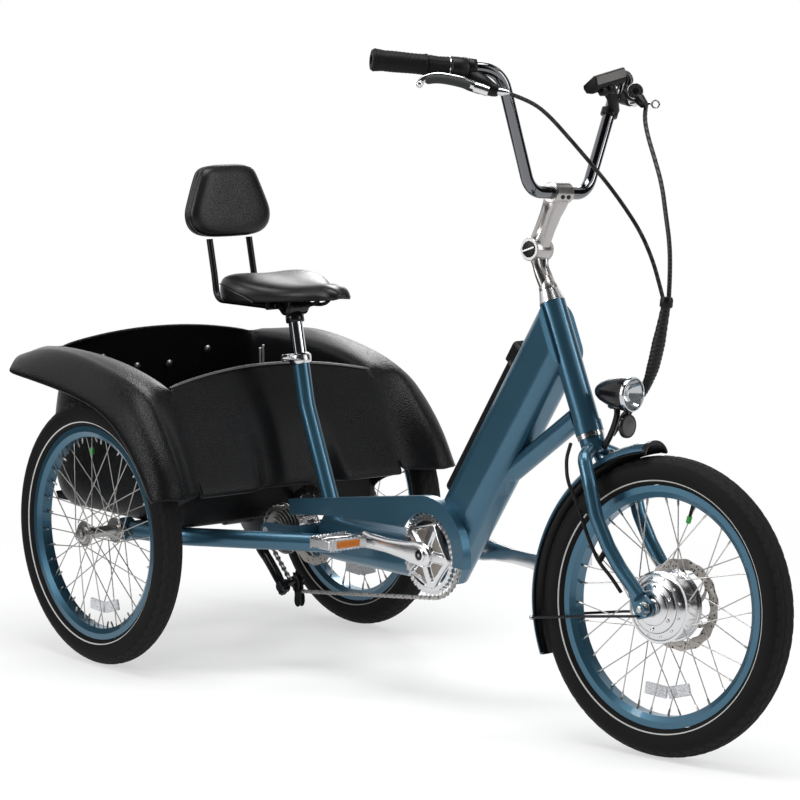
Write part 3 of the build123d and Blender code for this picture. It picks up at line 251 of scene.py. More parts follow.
# the rim bead's pale colours are a painted highlight, not the tub's own black
PAINTED_HIGHLIGHT_PLASTIC = moulded("tub_rim_painted_highlight", (0.05, 0.05, 0.052), 0.2, 430, 0.0002, 1.0, (0.14, 0.14, 0.145),
                      slot="black_tub")
TRIM_PLASTIC = moulded("black_plastic", (0.0045, 0.0045, 0.005), 0.34, 900, 0.0001, 0.18)
LAMP_BLACK = moulded("lamp_black", (0.005, 0.005, 0.006), 0.16, 900, 0.00002, 0.3)
RUBBER = moulded("soft_rubber", (0.005, 0.005, 0.005), 0.55, 1300, 0.00008, 0.14, (0.014, 0.014, 0.014))
PAD_RUBBER = moulded("pad_rubber", (0.030, 0.033, 0.030), 0.6, 1300, 0.00008, 0.25, (0.05, 0.054, 0.05),
                     slot="soft_rubber")
VINYL = moulded("black_vinyl", (0.004, 0.004, 0.0045), 0.30, 620, 0.00025, 0.3, (0.013, 0.013, 0.014))
REFLECTOR_CLEAR = reflector("reflector_clear", (0.72, 0.73, 0.74), 0.18, 420,
                            (0.9, 0.9, 0.92), (0.35, 0.36, 0.38), 0.0004)
REFLECTOR_AMBER = reflector("reflector_amber", (0.75, 0.20, 0.01), 0.2, 500,
                            (0.85, 0.26, 0.01), (0.35, 0.07, 0.005), 0.0003)

# the tyre's pale line and rubbed tread go by the radius, in metres, that its mesh carries
PALE_LINE, TREAD = 0.2152, 0.2455
TYRE = Finish("tyre_rubber", (0.008, 0.008, 0.008), 0.6, specular=0.09)
tread_radius = TYRE.node("SeparateXYZ", None, {0: TYRE.node("UVMap", {"uv_map": "marks"})}, out=1)
line_mask = (tread_radius.distance(PALE_LINE) < 0.0010) * 1.0
dust = TYRE.noise(9, 4.0)
rubbed = dust * 0.5 + (tread_radius > TREAD) * 0.4
rubber_tone = TYRE.blend(rubbed, (0.006, 0.006, 0.006), (0.019, 0.0185, 0.018))
TYRE.tint(line_mask, rubber_tone, (0.52, 0.52, 0.50))
TYRE.set("Roughness", 0.62 - line_mask * 0.25 + dust * 0.1)
TYRE.raise_by(TYRE.noise(900), 0.0001, 0.6)

VALVE_GREEN = Finish("valve_green", (0.02, 0.32, 0.04), 0.4, slot="black_plastic")
VALVE_GREEN.set("Roughness", 0.35 + VALVE_GREEN.noise(400) * 0.2)

REFLECTOR_DARK = Finish("reflector_dark", (0.07, 0.068, 0.066), 0.3, specular=0.4, slot="lamp_black")
REFLECTOR_DARK.tint(REFLECTOR_DARK.noise(60, 3.0), (0.045, 0.046, 0.047), (0.11, 0.095, 0.09))

PANEL_GREY = Finish("display_grey", (0.115, 0.105, 0.10), 0.45, specular=0.3, slot="lamp_black")
PANEL_GREY.tint(PANEL_GREY.noise(24, 3.0), (0.10, 0.092, 0.088), (0.155, 0.145, 0.138))
PANEL_GREY.raise_by(PANEL_GREY.noise(1500, 1.0), 0.0001, 0.5)

SCREEN = Finish("screen_glass", (0.02, 0.022, 0.024), 0.08, slot="lamp_black")
smear = SCREEN.noise(40)
SCREEN.set("Roughness", 0.05 + smear * 0.08)
SCREEN.tint(smear, (0.014, 0.016, 0.017), (0.035, 0.04, 0.042))

LENS = Finish("lamp_lens", (0.75, 0.77, 0.78), 0.05, slot="polished_alloy")
ripple = LENS.noise(90, 1.0)
LENS.set("Roughness", 0.04 + ripple * 0.05)
LENS.set("Alpha", 0.16)
LENS.tint(ripple, (0.42, 0.44, 0.46), (0.88, 0.89, 0.90))

DISC = Finish("brake_disc", (0.38, 0.36, 0.33), 0.3, 1.0, slot="bare_steel")
# dark spots stand for the disc's holes; their near-black colour is painted shade inside them
shaded_holes = (DISC.cells(165.0) < 0.28) * 1.0
DISC.tint(shaded_holes, (0.42, 0.39, 0.36), (0.02, 0.02, 0.02))
DISC.set("Metallic", 1 - shaded_holes * 0.6)
DISC.set("Roughness", 0.26 + DISC.noise(300) * 0.12)

WRAP = Finish("wound_tape", (0.008, 0.008, 0.008), 0.5, specular=0.3, slot="black_plastic")
wound = WRAP.bands("Z", 42.0, 1.5)
WRAP.set("Roughness", 0.4 + wound * 0.2)
WRAP.raise_by(wound, 0.0008, 0.8)

CABLE = Finish("cable_sleeve", (0.007, 0.007, 0.007), 0.4, specular=0.35, slot="black_plastic")
wound = CABLE.bands("DIAGONAL", 95.0, 0.4)
CABLE.set("Roughness", 0.30 + wound * 0.25)
CABLE.raise_by(wound, 0.0006, 0.7)

SLOT_FINISH = {finish.slot: finish for finish in (
    ALLOY, CHROME, STEEL, BLACK_ALLOY, TUB_PLASTIC, TRIM_PLASTIC, LAMP_BLACK, TYRE, RUBBER, VINYL, FRAME_PAINT)}
SLOT_FINISH["rim_blue"] = FRAME_PAINT
for subpart in frame["record"]["subparts"]:
    SLOT_FINISH[subpart["material_slot"]].on(nodes[subpart["node"]])
# the handlebar's darker chrome is a painted dark reflection
CHROME_PAINTED_DARK.on(nodes["handlebar"])


# ---------------------------------------------------------------- ways of making a piece
def spoke(angle, reach=1.0):
    """A step out from an axle, in the side view."""
    return Vector((reach * cos(angle), 0, reach * sin(angle)))


def around(count, first=0.0, shift=0.0):
    """Evenly spaced angles of one whole turn."""
    return [first + 2 * pi * (number + shift) / count for number in range(count)]


def step_up(value, width):
    """Nought below 0, one above the width, and smooth between."""
    share = min(1, max(0, value / width))
    return share * share * (3 - 2 * share)


class Shape:
    """Points and faces, in drawing millimetres, gathered into one mesh."""

    def __init__(self):
        self.points = []
        self.faces = []
        self.marks = []

    def grid(self, rows, closed=False, ring=False, caps=False, marks=None):
        """Quads between rows of points; closed joins the last row to the first, ring joins each row's ends."""
        start = len(self.points)
        wide = len(rows[0])
        for number, row in enumerate(rows):
            self.points.extend(tuple(point) for point in row)
            self.marks.extend(marks[number] if marks else [(0, 0)] * wide)
        for down in range(len(rows) if closed else len(rows) - 1):
            below = (down + 1) % len(rows)
            for across in range(wide if ring else wide - 1):
                beside = (across + 1) % wide
                self.faces.append((start + down * wide + across, start + down * wide + beside,
                                   start + below * wide + beside, start + below * wide + across))
        if caps:
            self.faces.append(tuple(start + number for number in range(wide))[::-1])
            self.faces.append(tuple(start + (len(rows) - 1) * wide + number for number in range(wide)))
        return self

    def turned(self, centre, axis, profile, sides=48, wave=None):
        """A turned form: profile is (distance along the axis, radius) pairs."""
        axis = Vector(axis).normalized()
        out = axis.orthogonal().normalized()
        up = axis.cross(out)
        rows = []
        for along, radius in profile:
            rows.append([Vector(centre) + axis * along + (out * cos(angle) + up * sin(angle))
                         * (radius + (wave(n, along) if wave else 0)) for n, angle in enumerate(around(sides))])
        return self.grid(rows, ring=True)

    def tube(self, path, radius, sides=12, flat=1.0):
        """A round or oval bar along a path; radius may change from point to point."""
        path = [Vector(point) for point in path]
        radii = radius if isinstance(radius, (list, tuple)) else [radius] * len(path)
        ways = [(b - a).normalized() for a, b in zip(path, path[1:])]
        upright = abs(ways[0].z) > 0.9
        out = (ways[0].orthogonal() if upright else ways[0].cross(Z)).normalized()
        rows = []
        for number, point in enumerate(path):
            before = ways[max(number - 1, 0)]
            after = ways[min(number, len(ways) - 1)]
            way = (before + after).normalized()
            out = (out - way * out.dot(way)).normalized()
            up = way.cross(out)
            rows.append([point + (out * cos(angle) + up * sin(angle) * flat) * radii[number]
                         for angle in around(sides)])
        return self.grid(rows, ring=True, caps=True)

    def block(self, centre, size, along=X, up=Z, chamfer=1.0):
        """A block with its edges taken off; size is along, across and up."""
        along = Vector(along).normalized()
        up = (Vector(up) - along * Vector(up).dot(along)).normalized()
        across = up.cross(along)
        a, b, c = (length / 2 for length in size)
        e = chamfer
        rows = []
        for height, inset in ((-c, e), (-c + e, 0), (c - e, 0), (c, e)):
            ring = [(a - inset, b - e - inset), (a - e - inset, b - inset), (-a + e + inset, b - inset),
                    (-a + inset, b - e - inset), (-a + inset, -b + e + inset), (-a + e + inset, -b + inset),
                    (a - e - inset, -b + inset), (a - inset, -b + e + inset)]
            rows.append([Vector(centre) + along * x + across * y + up * height for x, y in ring])
        return self.grid(rows, ring=True, caps=True)

    def plate(self, outline, thickness, centre, along, up, chamfer):
        """A flat plate from an outline of (along, up) pairs, its rims rounded off a little."""
        along = Vector(along).normalized()
        up = (Vector(up) - along * Vector(up).dot(along)).normalized()
        away = along.cross(up)
        middle = [sum(value) / len(outline) for value in zip(*outline)]
        rows = []
        for height, inset in ((0, chamfer), (chamfer, 0), (thickness - chamfer, 0), (thickness, chamfer)):
            row = []
            for x, z in outline:
                reach = max(sqrt((x - middle[0]) ** 2 + (z - middle[1]) ** 2), 0.1)
                keep = 1 - inset / reach
                row.append(Vector(centre) + along * (middle[0] + (x - middle[0]) * keep)
                           + up * (middle[1] + (z - middle[1]) * keep) + away * height)
            rows.append(row)
        return self.grid(rows, ring=True, caps=True)

    def flat_ring(self, centre, inner, outer, low, high, bevel=0.0):
        """A ring between two outlines of (x, z) pairs, from low to high across, thinner at the outer one."""
        edges = ((inner, low), (outer, low + bevel), (outer, high - bevel), (inner, high))
        return self.grid([[centre + Vector((x, y, z)) for x, z in outline] for outline, y in edges],
                         closed=True, ring=True)

    def studs(self, angles, centre, reach, axis, profile, sides):
        """Small turned forms in a circle round a wheel's axle."""
        for angle in angles:
            self.turned(centre + spoke(angle, reach), axis, profile, sides)
        return self

    def make(self, name, finish, body, *stands_for, sharp=38, uv=False, weld=0.0, slot=None, at_rest=False):
        """The piece itself, riding on a body in place of the CAD nodes that it stands for. Pieces of the steering
        are turned to where they rest, unless their points are there already."""
        mesh = bpy.data.meshes.new(name)
        points = [at(*point) for point in self.points]
        if body in TURNED_BODIES and not at_rest:
            points = [TURNED @ point for point in points]
        mesh.from_pydata(points, [], self.faces)
        shell = bmesh.new()
        shell.from_mesh(mesh)
        if uv:
            layer = shell.loops.layers.uv.new("marks")
            for face in shell.faces:
                for loop in face.loops:
                    loop[layer].uv = self.marks[loop.vert.index]
        if weld:
            bmesh.ops.remove_doubles(shell, verts=shell.verts, dist=weld)
        bmesh.ops.recalc_face_normals(shell, faces=shell.faces)
        shell.to_mesh(mesh)
        shell.free()
        mesh.shade_smooth()
        mesh.set_sharp_from_angle(angle=radians(sharp))
        obj = bpy.data.objects.new(name, mesh)
        scene.collection.objects.link(obj)
        finish.on(obj)
        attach(obj, body)
        if stands_for:
            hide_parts(*stands_for)
        return obj


def soften(obj, levels):
    """Rounds a coarse form off by subdivision."""
    smooth = obj.modifiers.new("rounding", "SUBSURF")
    smooth.levels = levels
    smooth.render_levels = levels
    return obj


def thicken(obj, thickness, offset=-1):
    """Gives a skin its thickness."""
    wall = obj.modifiers.new("wall", "SOLIDIFY")
    wall.thickness = thickness
    wall.offset = offset


def spline(points, steps):
    """Points along a smooth line through the given ones."""
    points = [Vector(point) for point in points]
    ends = [2 * points[0] - points[1]] + points + [2 * points[-1] - points[-2]]
    line = []
    for before, here, there, after in zip(ends, ends[1:], ends[2:], ends[3:]):
        for step in range(steps):
            t = step / steps
            line.append(0.5 * (2 * here + (there - before) * t
                               + (2 * before - 5 * here + 4 * there - after) * t ** 2
                               + (3 * here - before - 3 * there + after) * t ** 3))
    return line + [points[-1]]


def on_side(point, sign):
    return Vector((point[0], sign * point[1], point[2]))


# ---------------------------------------------------------------- wheels
TYRE_CENTRE, TYRE_SECTION = 229.5, 27.5
TYRE_STEPS = 360
SPOKES = 36
SPOKE_SEAT = 185.7
WHEELS = (("front", (FRONT_AXLE, 0), "front_wheel", 63.4, (-19, 19), 3, 28),
          ("right", (0, -TRACK), "right_wheel", 26.4, (-34.5, 35.5), 4, 60),
          ("left", (0, TRACK), "left_wheel", 26.4, (-35.5, 34.5), 4, 60))


def tyre(name, centre, body):
    """A road tyre: smooth walls, and a tread of staggered blocks with a wavy centre groove."""
    wall = [58, 64, 72, 82, 94, 106, 118, 130, 142]
    angles = [-angle for angle in wall[::-1]] + [-54 + 4.5 * n for n in range(25)] + wall
    rows, marks = [], []
    for step, turn_angle in enumerate(around(TYRE_STEPS)):
        row, mark = [], []
        for angle in angles:
            depth = 0.0
            if abs(angle) < 55:
                wave = 3.2 * sin(step * pi / 3)
                band = abs(angle) // 14
                stagger = (step + int(band) * 2 + (3 if angle < 0 else 0)) % 6
                if abs(angle - wave) < 3 or stagger == 0:
                    depth = 1.9
                elif abs(abs(angle) - 28) < 2:
                    depth = 1.5
            reach = TYRE_CENTRE + (TYRE_SECTION - depth) * cos(radians(angle))
            lateral = (TYRE_SECTION - depth) * sin(radians(angle))
            row.append((centre[0] + reach * cos(turn_angle), centre[1] + lateral,
                        WHEEL_Z + reach * sin(turn_angle)))
            mark.append((lateral / 100 + 0.5, reach / 1000))
        rows.append(row)
        marks.append(mark)
    Shape().grid(rows, closed=True, marks=marks).make(
        f"{name}_tread_tyre", TYRE, body, f"{name}_tyre", sharp=50, uv=True)


def wheel_fittings(name, centre, body, hub_radius, flanges, thick, wrap):
    """Spoke nipples, a valve with its cap, and the clear reflector between the spokes."""
    hub = Vector((centre[0], centre[1], WHEEL_Z))
    nipples = Shape()
    middle = sum(flanges) / 2
    for count in range(SPOKES):
        flange = flanges[count % 2]
        outwards = 1 if flange > middle else -1
        lead = 1 if (count // 2) % 2 else -1
        rim_angle = radians(360 / SPOKES * (count + 0.5))
        hub_angle = rim_angle + radians(lead * wrap)
        start = hub + spoke(hub_angle, hub_radius) + Y * (flange + lead * outwards * (thick / 2 + 0.8))
        finish = hub + spoke(rim_angle, SPOKE_SEAT) + Y * (outwards * 4 + middle)
        way = (start - finish).normalized()
        nipples.tube([finish, finish + way * 9, finish + way * 12], [2.2, 2.0, 1.3], 8)
    nipples.make(f"{name}_nipples", STEEL, body)
    way = -spoke(radians(76 if name == "front" else 98))
    foot = hub - way * 186
    Shape().tube([foot, foot + way * 24], 3.0).make(f"{name}_valve", TRIM_PLASTIC, body)
    Shape().tube([foot + way * reach for reach in (22, 23, 33, 35)], [3.2, 4.6, 4.4, 3.2], 14).make(
        f"{name}_valve_cap", VALVE_GREEN, body)
    reflector = Shape()
    for side in (-1, 1):
        angle = radians(-84 + side * 9.6)
        out = spoke(angle)
        along = Vector((-sin(angle), 0, cos(angle)))
        reflector.block(hub + out * 145 + Y * middle, (46, 6, 21), along, out, 1.2)
    reflector.make(f"{name}_wheel_reflector", REFLECTOR_CLEAR, body, sharp=20)


for name, centre, body, *hub_sizes in WHEELS:
    tyre(name, centre, body)
    wheel_fittings(name, centre, body, *hub_sizes)

# ---------------------------------------------------------------- cargo tub
WALL_TOP, WALL_BOTTOM = 570, 347
WALL_X, WALL_RAKE, WALL_CROWN = 118, 0.547, 27
RECESS_TOP, RECESS_DEPTH = 475, 24
RIM_Y, CREST_Y, LIP_Y = 243, 318, 366
# stations from the rear end forward, then down the front: rim or wall, crest and lip of the mudguard, and how far
# the section has turned from looking up to looking forward
STATIONS = [
    ((-250, 588), (-268, 578), (-236, 554), 0), ((-190, 591), (-200, 598), (-182, 549), 0),
    ((-130, 589), (-133, 600), (-130, 544), 0), ((-80, 586), (-80, 596), (-76, 538), 0),
    ((-30, 581), (-28, 588), (-25, 531), 0), ((20, 573), (24, 578), (20, 523), 0),
    ((62, 564), (72, 567), (60, 513), 0.1), ((97, 555), (112, 553), (99, 499), 0.3),
    ((131, 543), (148, 536), (131, 481), 0.6), ((144, 522), (170, 517), (149, 467), 0.8),
    ((158, 497), (195, 490), (166, 453), 1), ((173, 470), (219, 463), (184, 437), 1),
    ((189, 440), (241, 435), (203, 415), 1), ((205.5, 410), (258, 407), (219, 395), 1),
    ((222, 380), (270, 378), (236, 370), 1), ((236.5, 352), (278, 351), (252, 350), 1)]
FRONT_CORNER = 8
REAR_LINE = [(347, -299), (390, -305), (430, -305), (490, -290), (555, -268), (617, -250)]


def mudguard_section(sign, rim, crest, lip, turned):
    """Control points from the tub's rim, through the valley, over the crest and down to the lip."""
    a = Vector((rim[0], RIM_Y, rim[1]))
    c = Vector((crest[0], CREST_Y, crest[1]))
    b = Vector((lip[0], LIP_Y, lip[1]))
    ahead = Vector((0.88 * turned, 0, 1 - 0.52 * turned)).normalized()
    out = Vector((0.7 * turned, 0.6, 0.8 - 0.5 * turned)).normalized()
    valley = a + Y * 24 + ahead * (6 - 3 * turned)
    rise = a.lerp(c, 0.62) + ahead * (4 - 8 * turned)
    ridge = a.lerp(c, 0.84) + ahead * (4 * turned)
    shoulder = c.lerp(b, 0.34) + out * (5 + 9 * turned)
    flank = c.lerp(b, 0.74) + out * (2 + 7 * turned)
    back = b + Vector((-5 * turned, -2.5, -5))
    return [on_side(point, sign) for point in (a, valley, rise, ridge, c, shoulder, flank, b, back)]


def crown(y):
    """The height of the front wall's curved top."""
    return WALL_TOP - WALL_CROWN * (abs(y) / RIM_Y) ** 2


def wall_x(z):
    return WALL_X + (WALL_TOP - z) * WALL_RAKE


def rear_x(z):
    for (za, xa), (zb, xb) in zip(REAR_LINE, REAR_LINE[1:]):
        if z <= zb:
            return xa + (xb - xa) * max(0, z - za) / (zb - za)
    return REAR_LINE[-1][1]


def front_wall():
    """The raked front wall: crowned rim, and a recess round the seat tube that widens to the bottom."""
    across = [243, 222, 190, 155, 128, 112, 101, 86, 60, 30]
    heights = [station[0][1] for station in STATIONS[FRONT_CORNER:]]
    rows = []
    for height in heights:
        share = (height - WALL_BOTTOM) / (heights[0] - WALL_BOTTOM)
        row = []
        for y in across + [0] + [-y for y in across[::-1]]:
            z = WALL_BOTTOM + (crown(y) - WALL_BOTTOM) * share
            lower = max(0, (RECESS_TOP - z) / (RECESS_TOP - WALL_BOTTOM))
            inside = step_up(84 + 22 * lower - abs(y), 14)
            row.append((wall_x(z) - RECESS_DEPTH * lower ** 1.3 * inside, y, z))
        rows.append(row)
    rows.append([(x - 1, y, z - 7) for x, y, z in rows[-1]])
    rows.append([(x - 9, y, z - 1) for x, y, z in rows[-1]])
    return rows


def inner_walls():
    """Side and rear walls, from the left front corner round the back, then down to the boxed floor."""
    side = [station[0] for station in STATIONS[:FRONT_CORNER + 1]]
    rear = [222, 180, 130, 80, 30]
    rim_line = [(x, RIM_Y, z) for x, z in side[::-1]]
    rim_line += [(-250, y, 617.5 - 4.6e-4 * y * y) for y in rear + [-y for y in rear[::-1]]]
    rim_line += [(x, -RIM_Y, z) for x, z in side]
    rows = [rim_line]
    for share, drop in ((0, 12), (0.25, 0), (0.5, 0), (0.75, 0), (1, 0)):
        row = []
        for x, y, z in rim_line:
            low = z - drop - (z - WALL_BOTTOM) * share
            if abs(y) < RIM_Y - 1:
                row.append((rear_x(low), y * 0.97, low))
            elif x < -240:
                row.append((rear_x(low) + 22, y * 0.985, low))
            else:
                row.append((min(x, wall_x(low)) if x < 100 else wall_x(low), y * 0.99, low))
        rows.append(row)
    foot = rows[-1]
    for low, inset in ((322, 0), (292, 4), (276, 16)):
        rows.append([(min(152 - inset * 0.3,
                          max(x, -299 + (WALL_BOTTOM - low) * 0.5) + (inset if x < 0 else -inset * 0.3)),
                      y * (1 - inset / 300), low) for x, y, z in foot])
    return rows


shell = Shape()
for sign in (-1, 1):
    shell.grid([mudguard_section(sign, *station) for station in STATIONS])
shell.grid(front_wall())
shell.grid(inner_walls())
shell.grid([[(x, y, z) for y in range(-240, 241, 60)]
            for x, z in ((154, 347), (154, 322), (154, 292), (150, 276))])
tub = shell.make("tub_shell", TUB_PLASTIC, "frame", "cargo_tub", "right_mudguard", "left_mudguard",
                 sharp=180, weld=0.0004)
soften(tub, 2)
thicken(tub, 0.004, 0)

# the rolled edge along the front wall's crown, coloured pale as a painted highlight line
crown_steps = [RIM_Y * (step / 16 - 1) for step in range(33)]
crown_line = [(wall_x(crown(y)) + 1.5, y, crown(y) + 1.6) for y in crown_steps]
Shape().tube(crown_line, [1.2] + [2.6] * 31 + [1.2]).make("tub_front_edge", PAINTED_HIGHLIGHT_PLASTIC, "frame", sharp=60)

floor_pan = Shape()
for side in (-1, 1):
    floor_pan.grid([[(x, side * y, z) for y, z in ((228, 276), (222, 279), (132, 279), (130, 283), (128, 324),
                                                   (124, 328), (0, 329))] for x in (-90, -60, 0, 60, 150)])
floor_pan.grid([[(x, y, z) for y in (-226, -130, 0, 130, 226)]
                for x, z in ((-292, 292), (-284, 279), (-92, 279))])
floor_pan.grid([[(x, y, z) for y in (-128, 0, 128)] for x, z in ((-92, 279), (-88, 324), (-60, 329))])
thicken(floor_pan.make("tub_floor", TUB_PLASTIC, "frame"), 0.003)

bolts = Shape()
for x, y, z in ((-262, -130, 560), (-272, -40, 535), (-272, 40, 535), (-262, 130, 560)):
    bolts.turned((x, y, z), (1, 0, -0.25), [(0, 0.5), (0, 7), (2, 8.5), (4, 8), (6, 4), (6, 0.5)], 16)
bolts.make("tub_bolts", STEEL, "frame")

post = Shape()
for x, y, top in ((-100, 155, 576), (-104, 150, 570)):
    post.tube([(x, y, 282), (x, y, top)], 2.1)
    post.turned((x, y, top), Z, [(0, 3), (3, 3), (4, 2), (4, 0.4)], 16)
post.make("tub_post", STEEL, "frame")

# ---------------------------------------------------------------- saddle and backrest
# cross-sections from the back forward: x, half width, and the heights of the top, the shoulder and the base
SADDLE = [
    (93, 62, 737, 734, 712), (97, 88, 746, 741, 707), (108, 107, 753, 748, 703), (130, 117, 755, 751, 700),
    (165, 115, 751, 745, 700), (205, 97, 743, 735, 702), (245, 68, 738, 728, 705), (285, 45, 742, 731, 708),
    (322, 36, 746, 735, 711), (348, 29, 740, 730, 713), (362, 18, 727, 722, 714)]
rows = []
for x, half, top, shoulder, base in SADDLE:
    side = [(0.0, top - 4), (0.3, top - 2), (0.62, (top + shoulder) / 2 + 2), (0.86, shoulder + 1),
            (0.97, shoulder - 7), (1.0, (shoulder + base) / 2), (0.98, base + 4), (0.93, base), (0.86, base + 1),
            (0.5, base + 5), (0.0, base + 6)]
    rows.append([(x, half * share, z) for share, z in side]
                + [(x, -half * share, z) for share, z in side[-2:0:-1]])
cover = Shape().grid(rows, ring=True, caps=True).make("saddle_cover", VINYL, "seat", "saddle", sharp=180)
soften(cover, 2)
SEAM = [(118, 111, 735), (140, 117.5, 731), (165, 117, 724), (190, 107, 714), (205, 98, 704)]
for name, sign in SIDES:
    Shape().tube([on_side(point, sign) for point in SEAM], 1.3, 8).make(f"{name}_piping", VINYL, "seat")

BACK_OUTLINE = [(0, 72), (40, 71), (62, 62), (74, 40), (87, 8), (97, -22), (92, -48), (72, -64), (40, -70),
                (0, -71)]
BACK_X, BACK_Z = -6, 884
LEAN = radians(6)
half = spline([(0, y, z) for y, z in BACK_OUTLINE], 3)
outline = half[:-1] + [on_side(point, -1) for point in half[:0:-1]]
rows = []
for share, depth in ((0.02, 19), (0.45, 19), (0.75, 18.6), (0.9, 16), (0.975, 10), (1.0, 3), (0.985, -1.5),
                     (0.955, -3), (0.985, -4.5), (0.995, -9), (0.97, -13), (0.985, -14.5), (0.985, -17.5),
                     (0.9, -19), (0.02, -19)):
    rows.append([(BACK_X + depth * cos(LEAN) - p.z * share * sin(LEAN), p.y * share,
                  BACK_Z + p.z * share * cos(LEAN) + depth * sin(LEAN)) for p in outline])
pad = Shape().grid(rows, ring=True, caps=True).make("backrest_pad", VINYL, "seat", "backrest", sharp=180)
soften(pad, 1)

# ---------------------------------------------------------------- crankset, pedals and chain
CRANK = Vector((675, 0, 277))
ARM = radians(176)
RIGHT_ARM, LEFT_ARM = (-80, -1, ARM), (82, 1, ARM + pi)
PEDAL_REACH = 158
SPIDER_EDGE, SPIDER_FLAT, SPIDER_BORE = 64, 53.5, 12
RING_BORE = 66
CHAIN_PITCH = 12.7


def ring_outline(teeth, tip, root):
    """A toothed ring's outline."""
    outline = []
    for tooth in range(teeth):
        for share, reach in ((0.0, root), (0.25, root), (0.42, tip), (0.58, tip), (0.75, root)):
            angle = 2 * pi * (tooth + share) / teeth
            outline.append((reach * cos(angle), reach * sin(angle)))
    return outline


def bore_outline(outline, radius):
    """The round hole of a ring, with a point for each one of its outline."""
    return [(radius * cos(angle), radius * sin(angle)) for angle in around(len(outline))]


def crank_arm(shape, y, outwards, angle):
    """A forged arm: deep at the spindle, waisted, round at the pedal eye."""
    way = spoke(angle)
    up = Vector((-sin(angle), 0, cos(angle)))
    rows = []
    for reach, tall, thick in ((-23, 7, 9), (-17, 17, 12), (0, 23, 14), (18, 22, 14), (44, 16.5, 13), (90, 13, 12),
                               (130, 13.5, 12), (150, 15.5, 12), (163, 13, 12), (171, 5, 9)):
        closer = 15 * (1 - min(1, max(0, reach / 130)) ** 0.8)
        centre = CRANK + way * reach + Y * (y - outwards * closer)
        rows.append([centre + up * tall * c + Y * (outwards * thick / 2 * s) for c, s in (
            (1, -0.6), (1, 0.2), (0.75, 0.85), (0.3, 1), (-0.3, 1), (-0.75, 0.85), (-1, 0.2), (-1, -0.6),
            (-0.6, -1), (0.6, -1))])
    shape.grid(rows, ring=True, caps=True)


def spider_y(reach):
    """How far out the spider's dished plate lies at a distance from the spindle."""
    return -66 + 9 * (reach / RING_BORE) ** 2


def spider():
    """A five-sided plate whose five dished windows leave broad arms."""
    angles = around(200, ARM + pi)
    rows = []
    for ring_number in range(31):
        row = []
        for n, angle in enumerate(angles):
            to_arm = abs((n * 5 / 200 + 0.5) % 1 - 0.5) * 2 * pi / 5
            edge = min(SPIDER_EDGE, SPIDER_FLAT / cos(pi / 5 - to_arm))
            reach = SPIDER_BORE + (edge - SPIDER_BORE) * ring_number / 30
            dish = step_up(reach * sin(to_arm) - 6.5, 3) * step_up(edge - 6 - reach, 3) * step_up(reach - 20, 5)
            rolled = 3.5 * step_up(reach - edge + 3, 3)
            row.append(CRANK + spoke(angle, reach) + Y * (spider_y(reach) + dish * 6 + rolled))
        rows.append(row)
    rows.append([point + Y * 7 for point in rows[-1]])
    rows.append([CRANK + spoke(angle, SPIDER_BORE) - Y * 50 for angle in angles])
    return rows


arms = Shape()
crank_arm(arms, *RIGHT_ARM)
crank_arm(arms, *LEFT_ARM)
arms.turned(CRANK - Y * 74.5, Y, [(0, 7), (0, 11), (1.5, 13), (6, 13)], 24)
arms.grid(spider(), ring=True)
arms.turned(CRANK - Y * 70, Y, [(0, 16), (1, 19), (4, 20), (6, 20), (6, 4)], 40)
arms.make("crankset", ALLOY, "cranks", "crank_arms", sharp=50)

windows = Shape()
for angle in around(5, ARM + pi, 0.5):
    way = spoke(angle)
    up = Vector((-sin(angle), 0, cos(angle)))
    rows = []
    for reach, half in ((24, 2), (28, 6.5), (34, 11), (40, 15), (44, 17), (46.5, 15.5), (47.5, 10)):
        sides = [half * (n - 4) / 4 for n in range(9)]
        rows.append([CRANK + way * reach + up * side + Y * (spider_y(sqrt(reach ** 2 + side ** 2)) + 5.6)
                     for side in sides])
    windows.grid(rows)
windows.make("spider_windows", WINDOW_STEEL, "cranks")

teeth = Shape()
outer = ring_outline(42, 78, 73.5)
inner = bore_outline(outer, RING_BORE)
for low, high, keep in ((-47.5, -44.5, 1), (-52.5, -50.5, 0.93)):
    edges = [[(x * keep, z * keep) for x, z in outline] for outline in (inner, outer)]
    teeth.flat_ring(CRANK, *edges, low, high, 0.5)
teeth.make("toothed_ring", ALLOY, "cranks", "chainring", sharp=30, slot="bare_steel")
Shape().studs(around(5, ARM + pi), CRANK - Y * 57.5, 58, Y, [(0, 1.5), (0, 4), (1, 5), (6, 5)], 16).make(
    "ring_bolts", STEEL, "cranks")
Shape().turned(CRANK - Y * 75, Y, [(0, 0.4), (0, 3.4), (2, 3.6)], 6).make("spindle_bolt", STEEL, "cranks")
Shape().turned(CRANK - Y * 75.2, Y, [(0, 3.6), (-0.4, 4), (0, 9), (1.5, 10), (4, 10)], 24).make(
    "spindle_cap", LAMP_BLACK, "cranks")


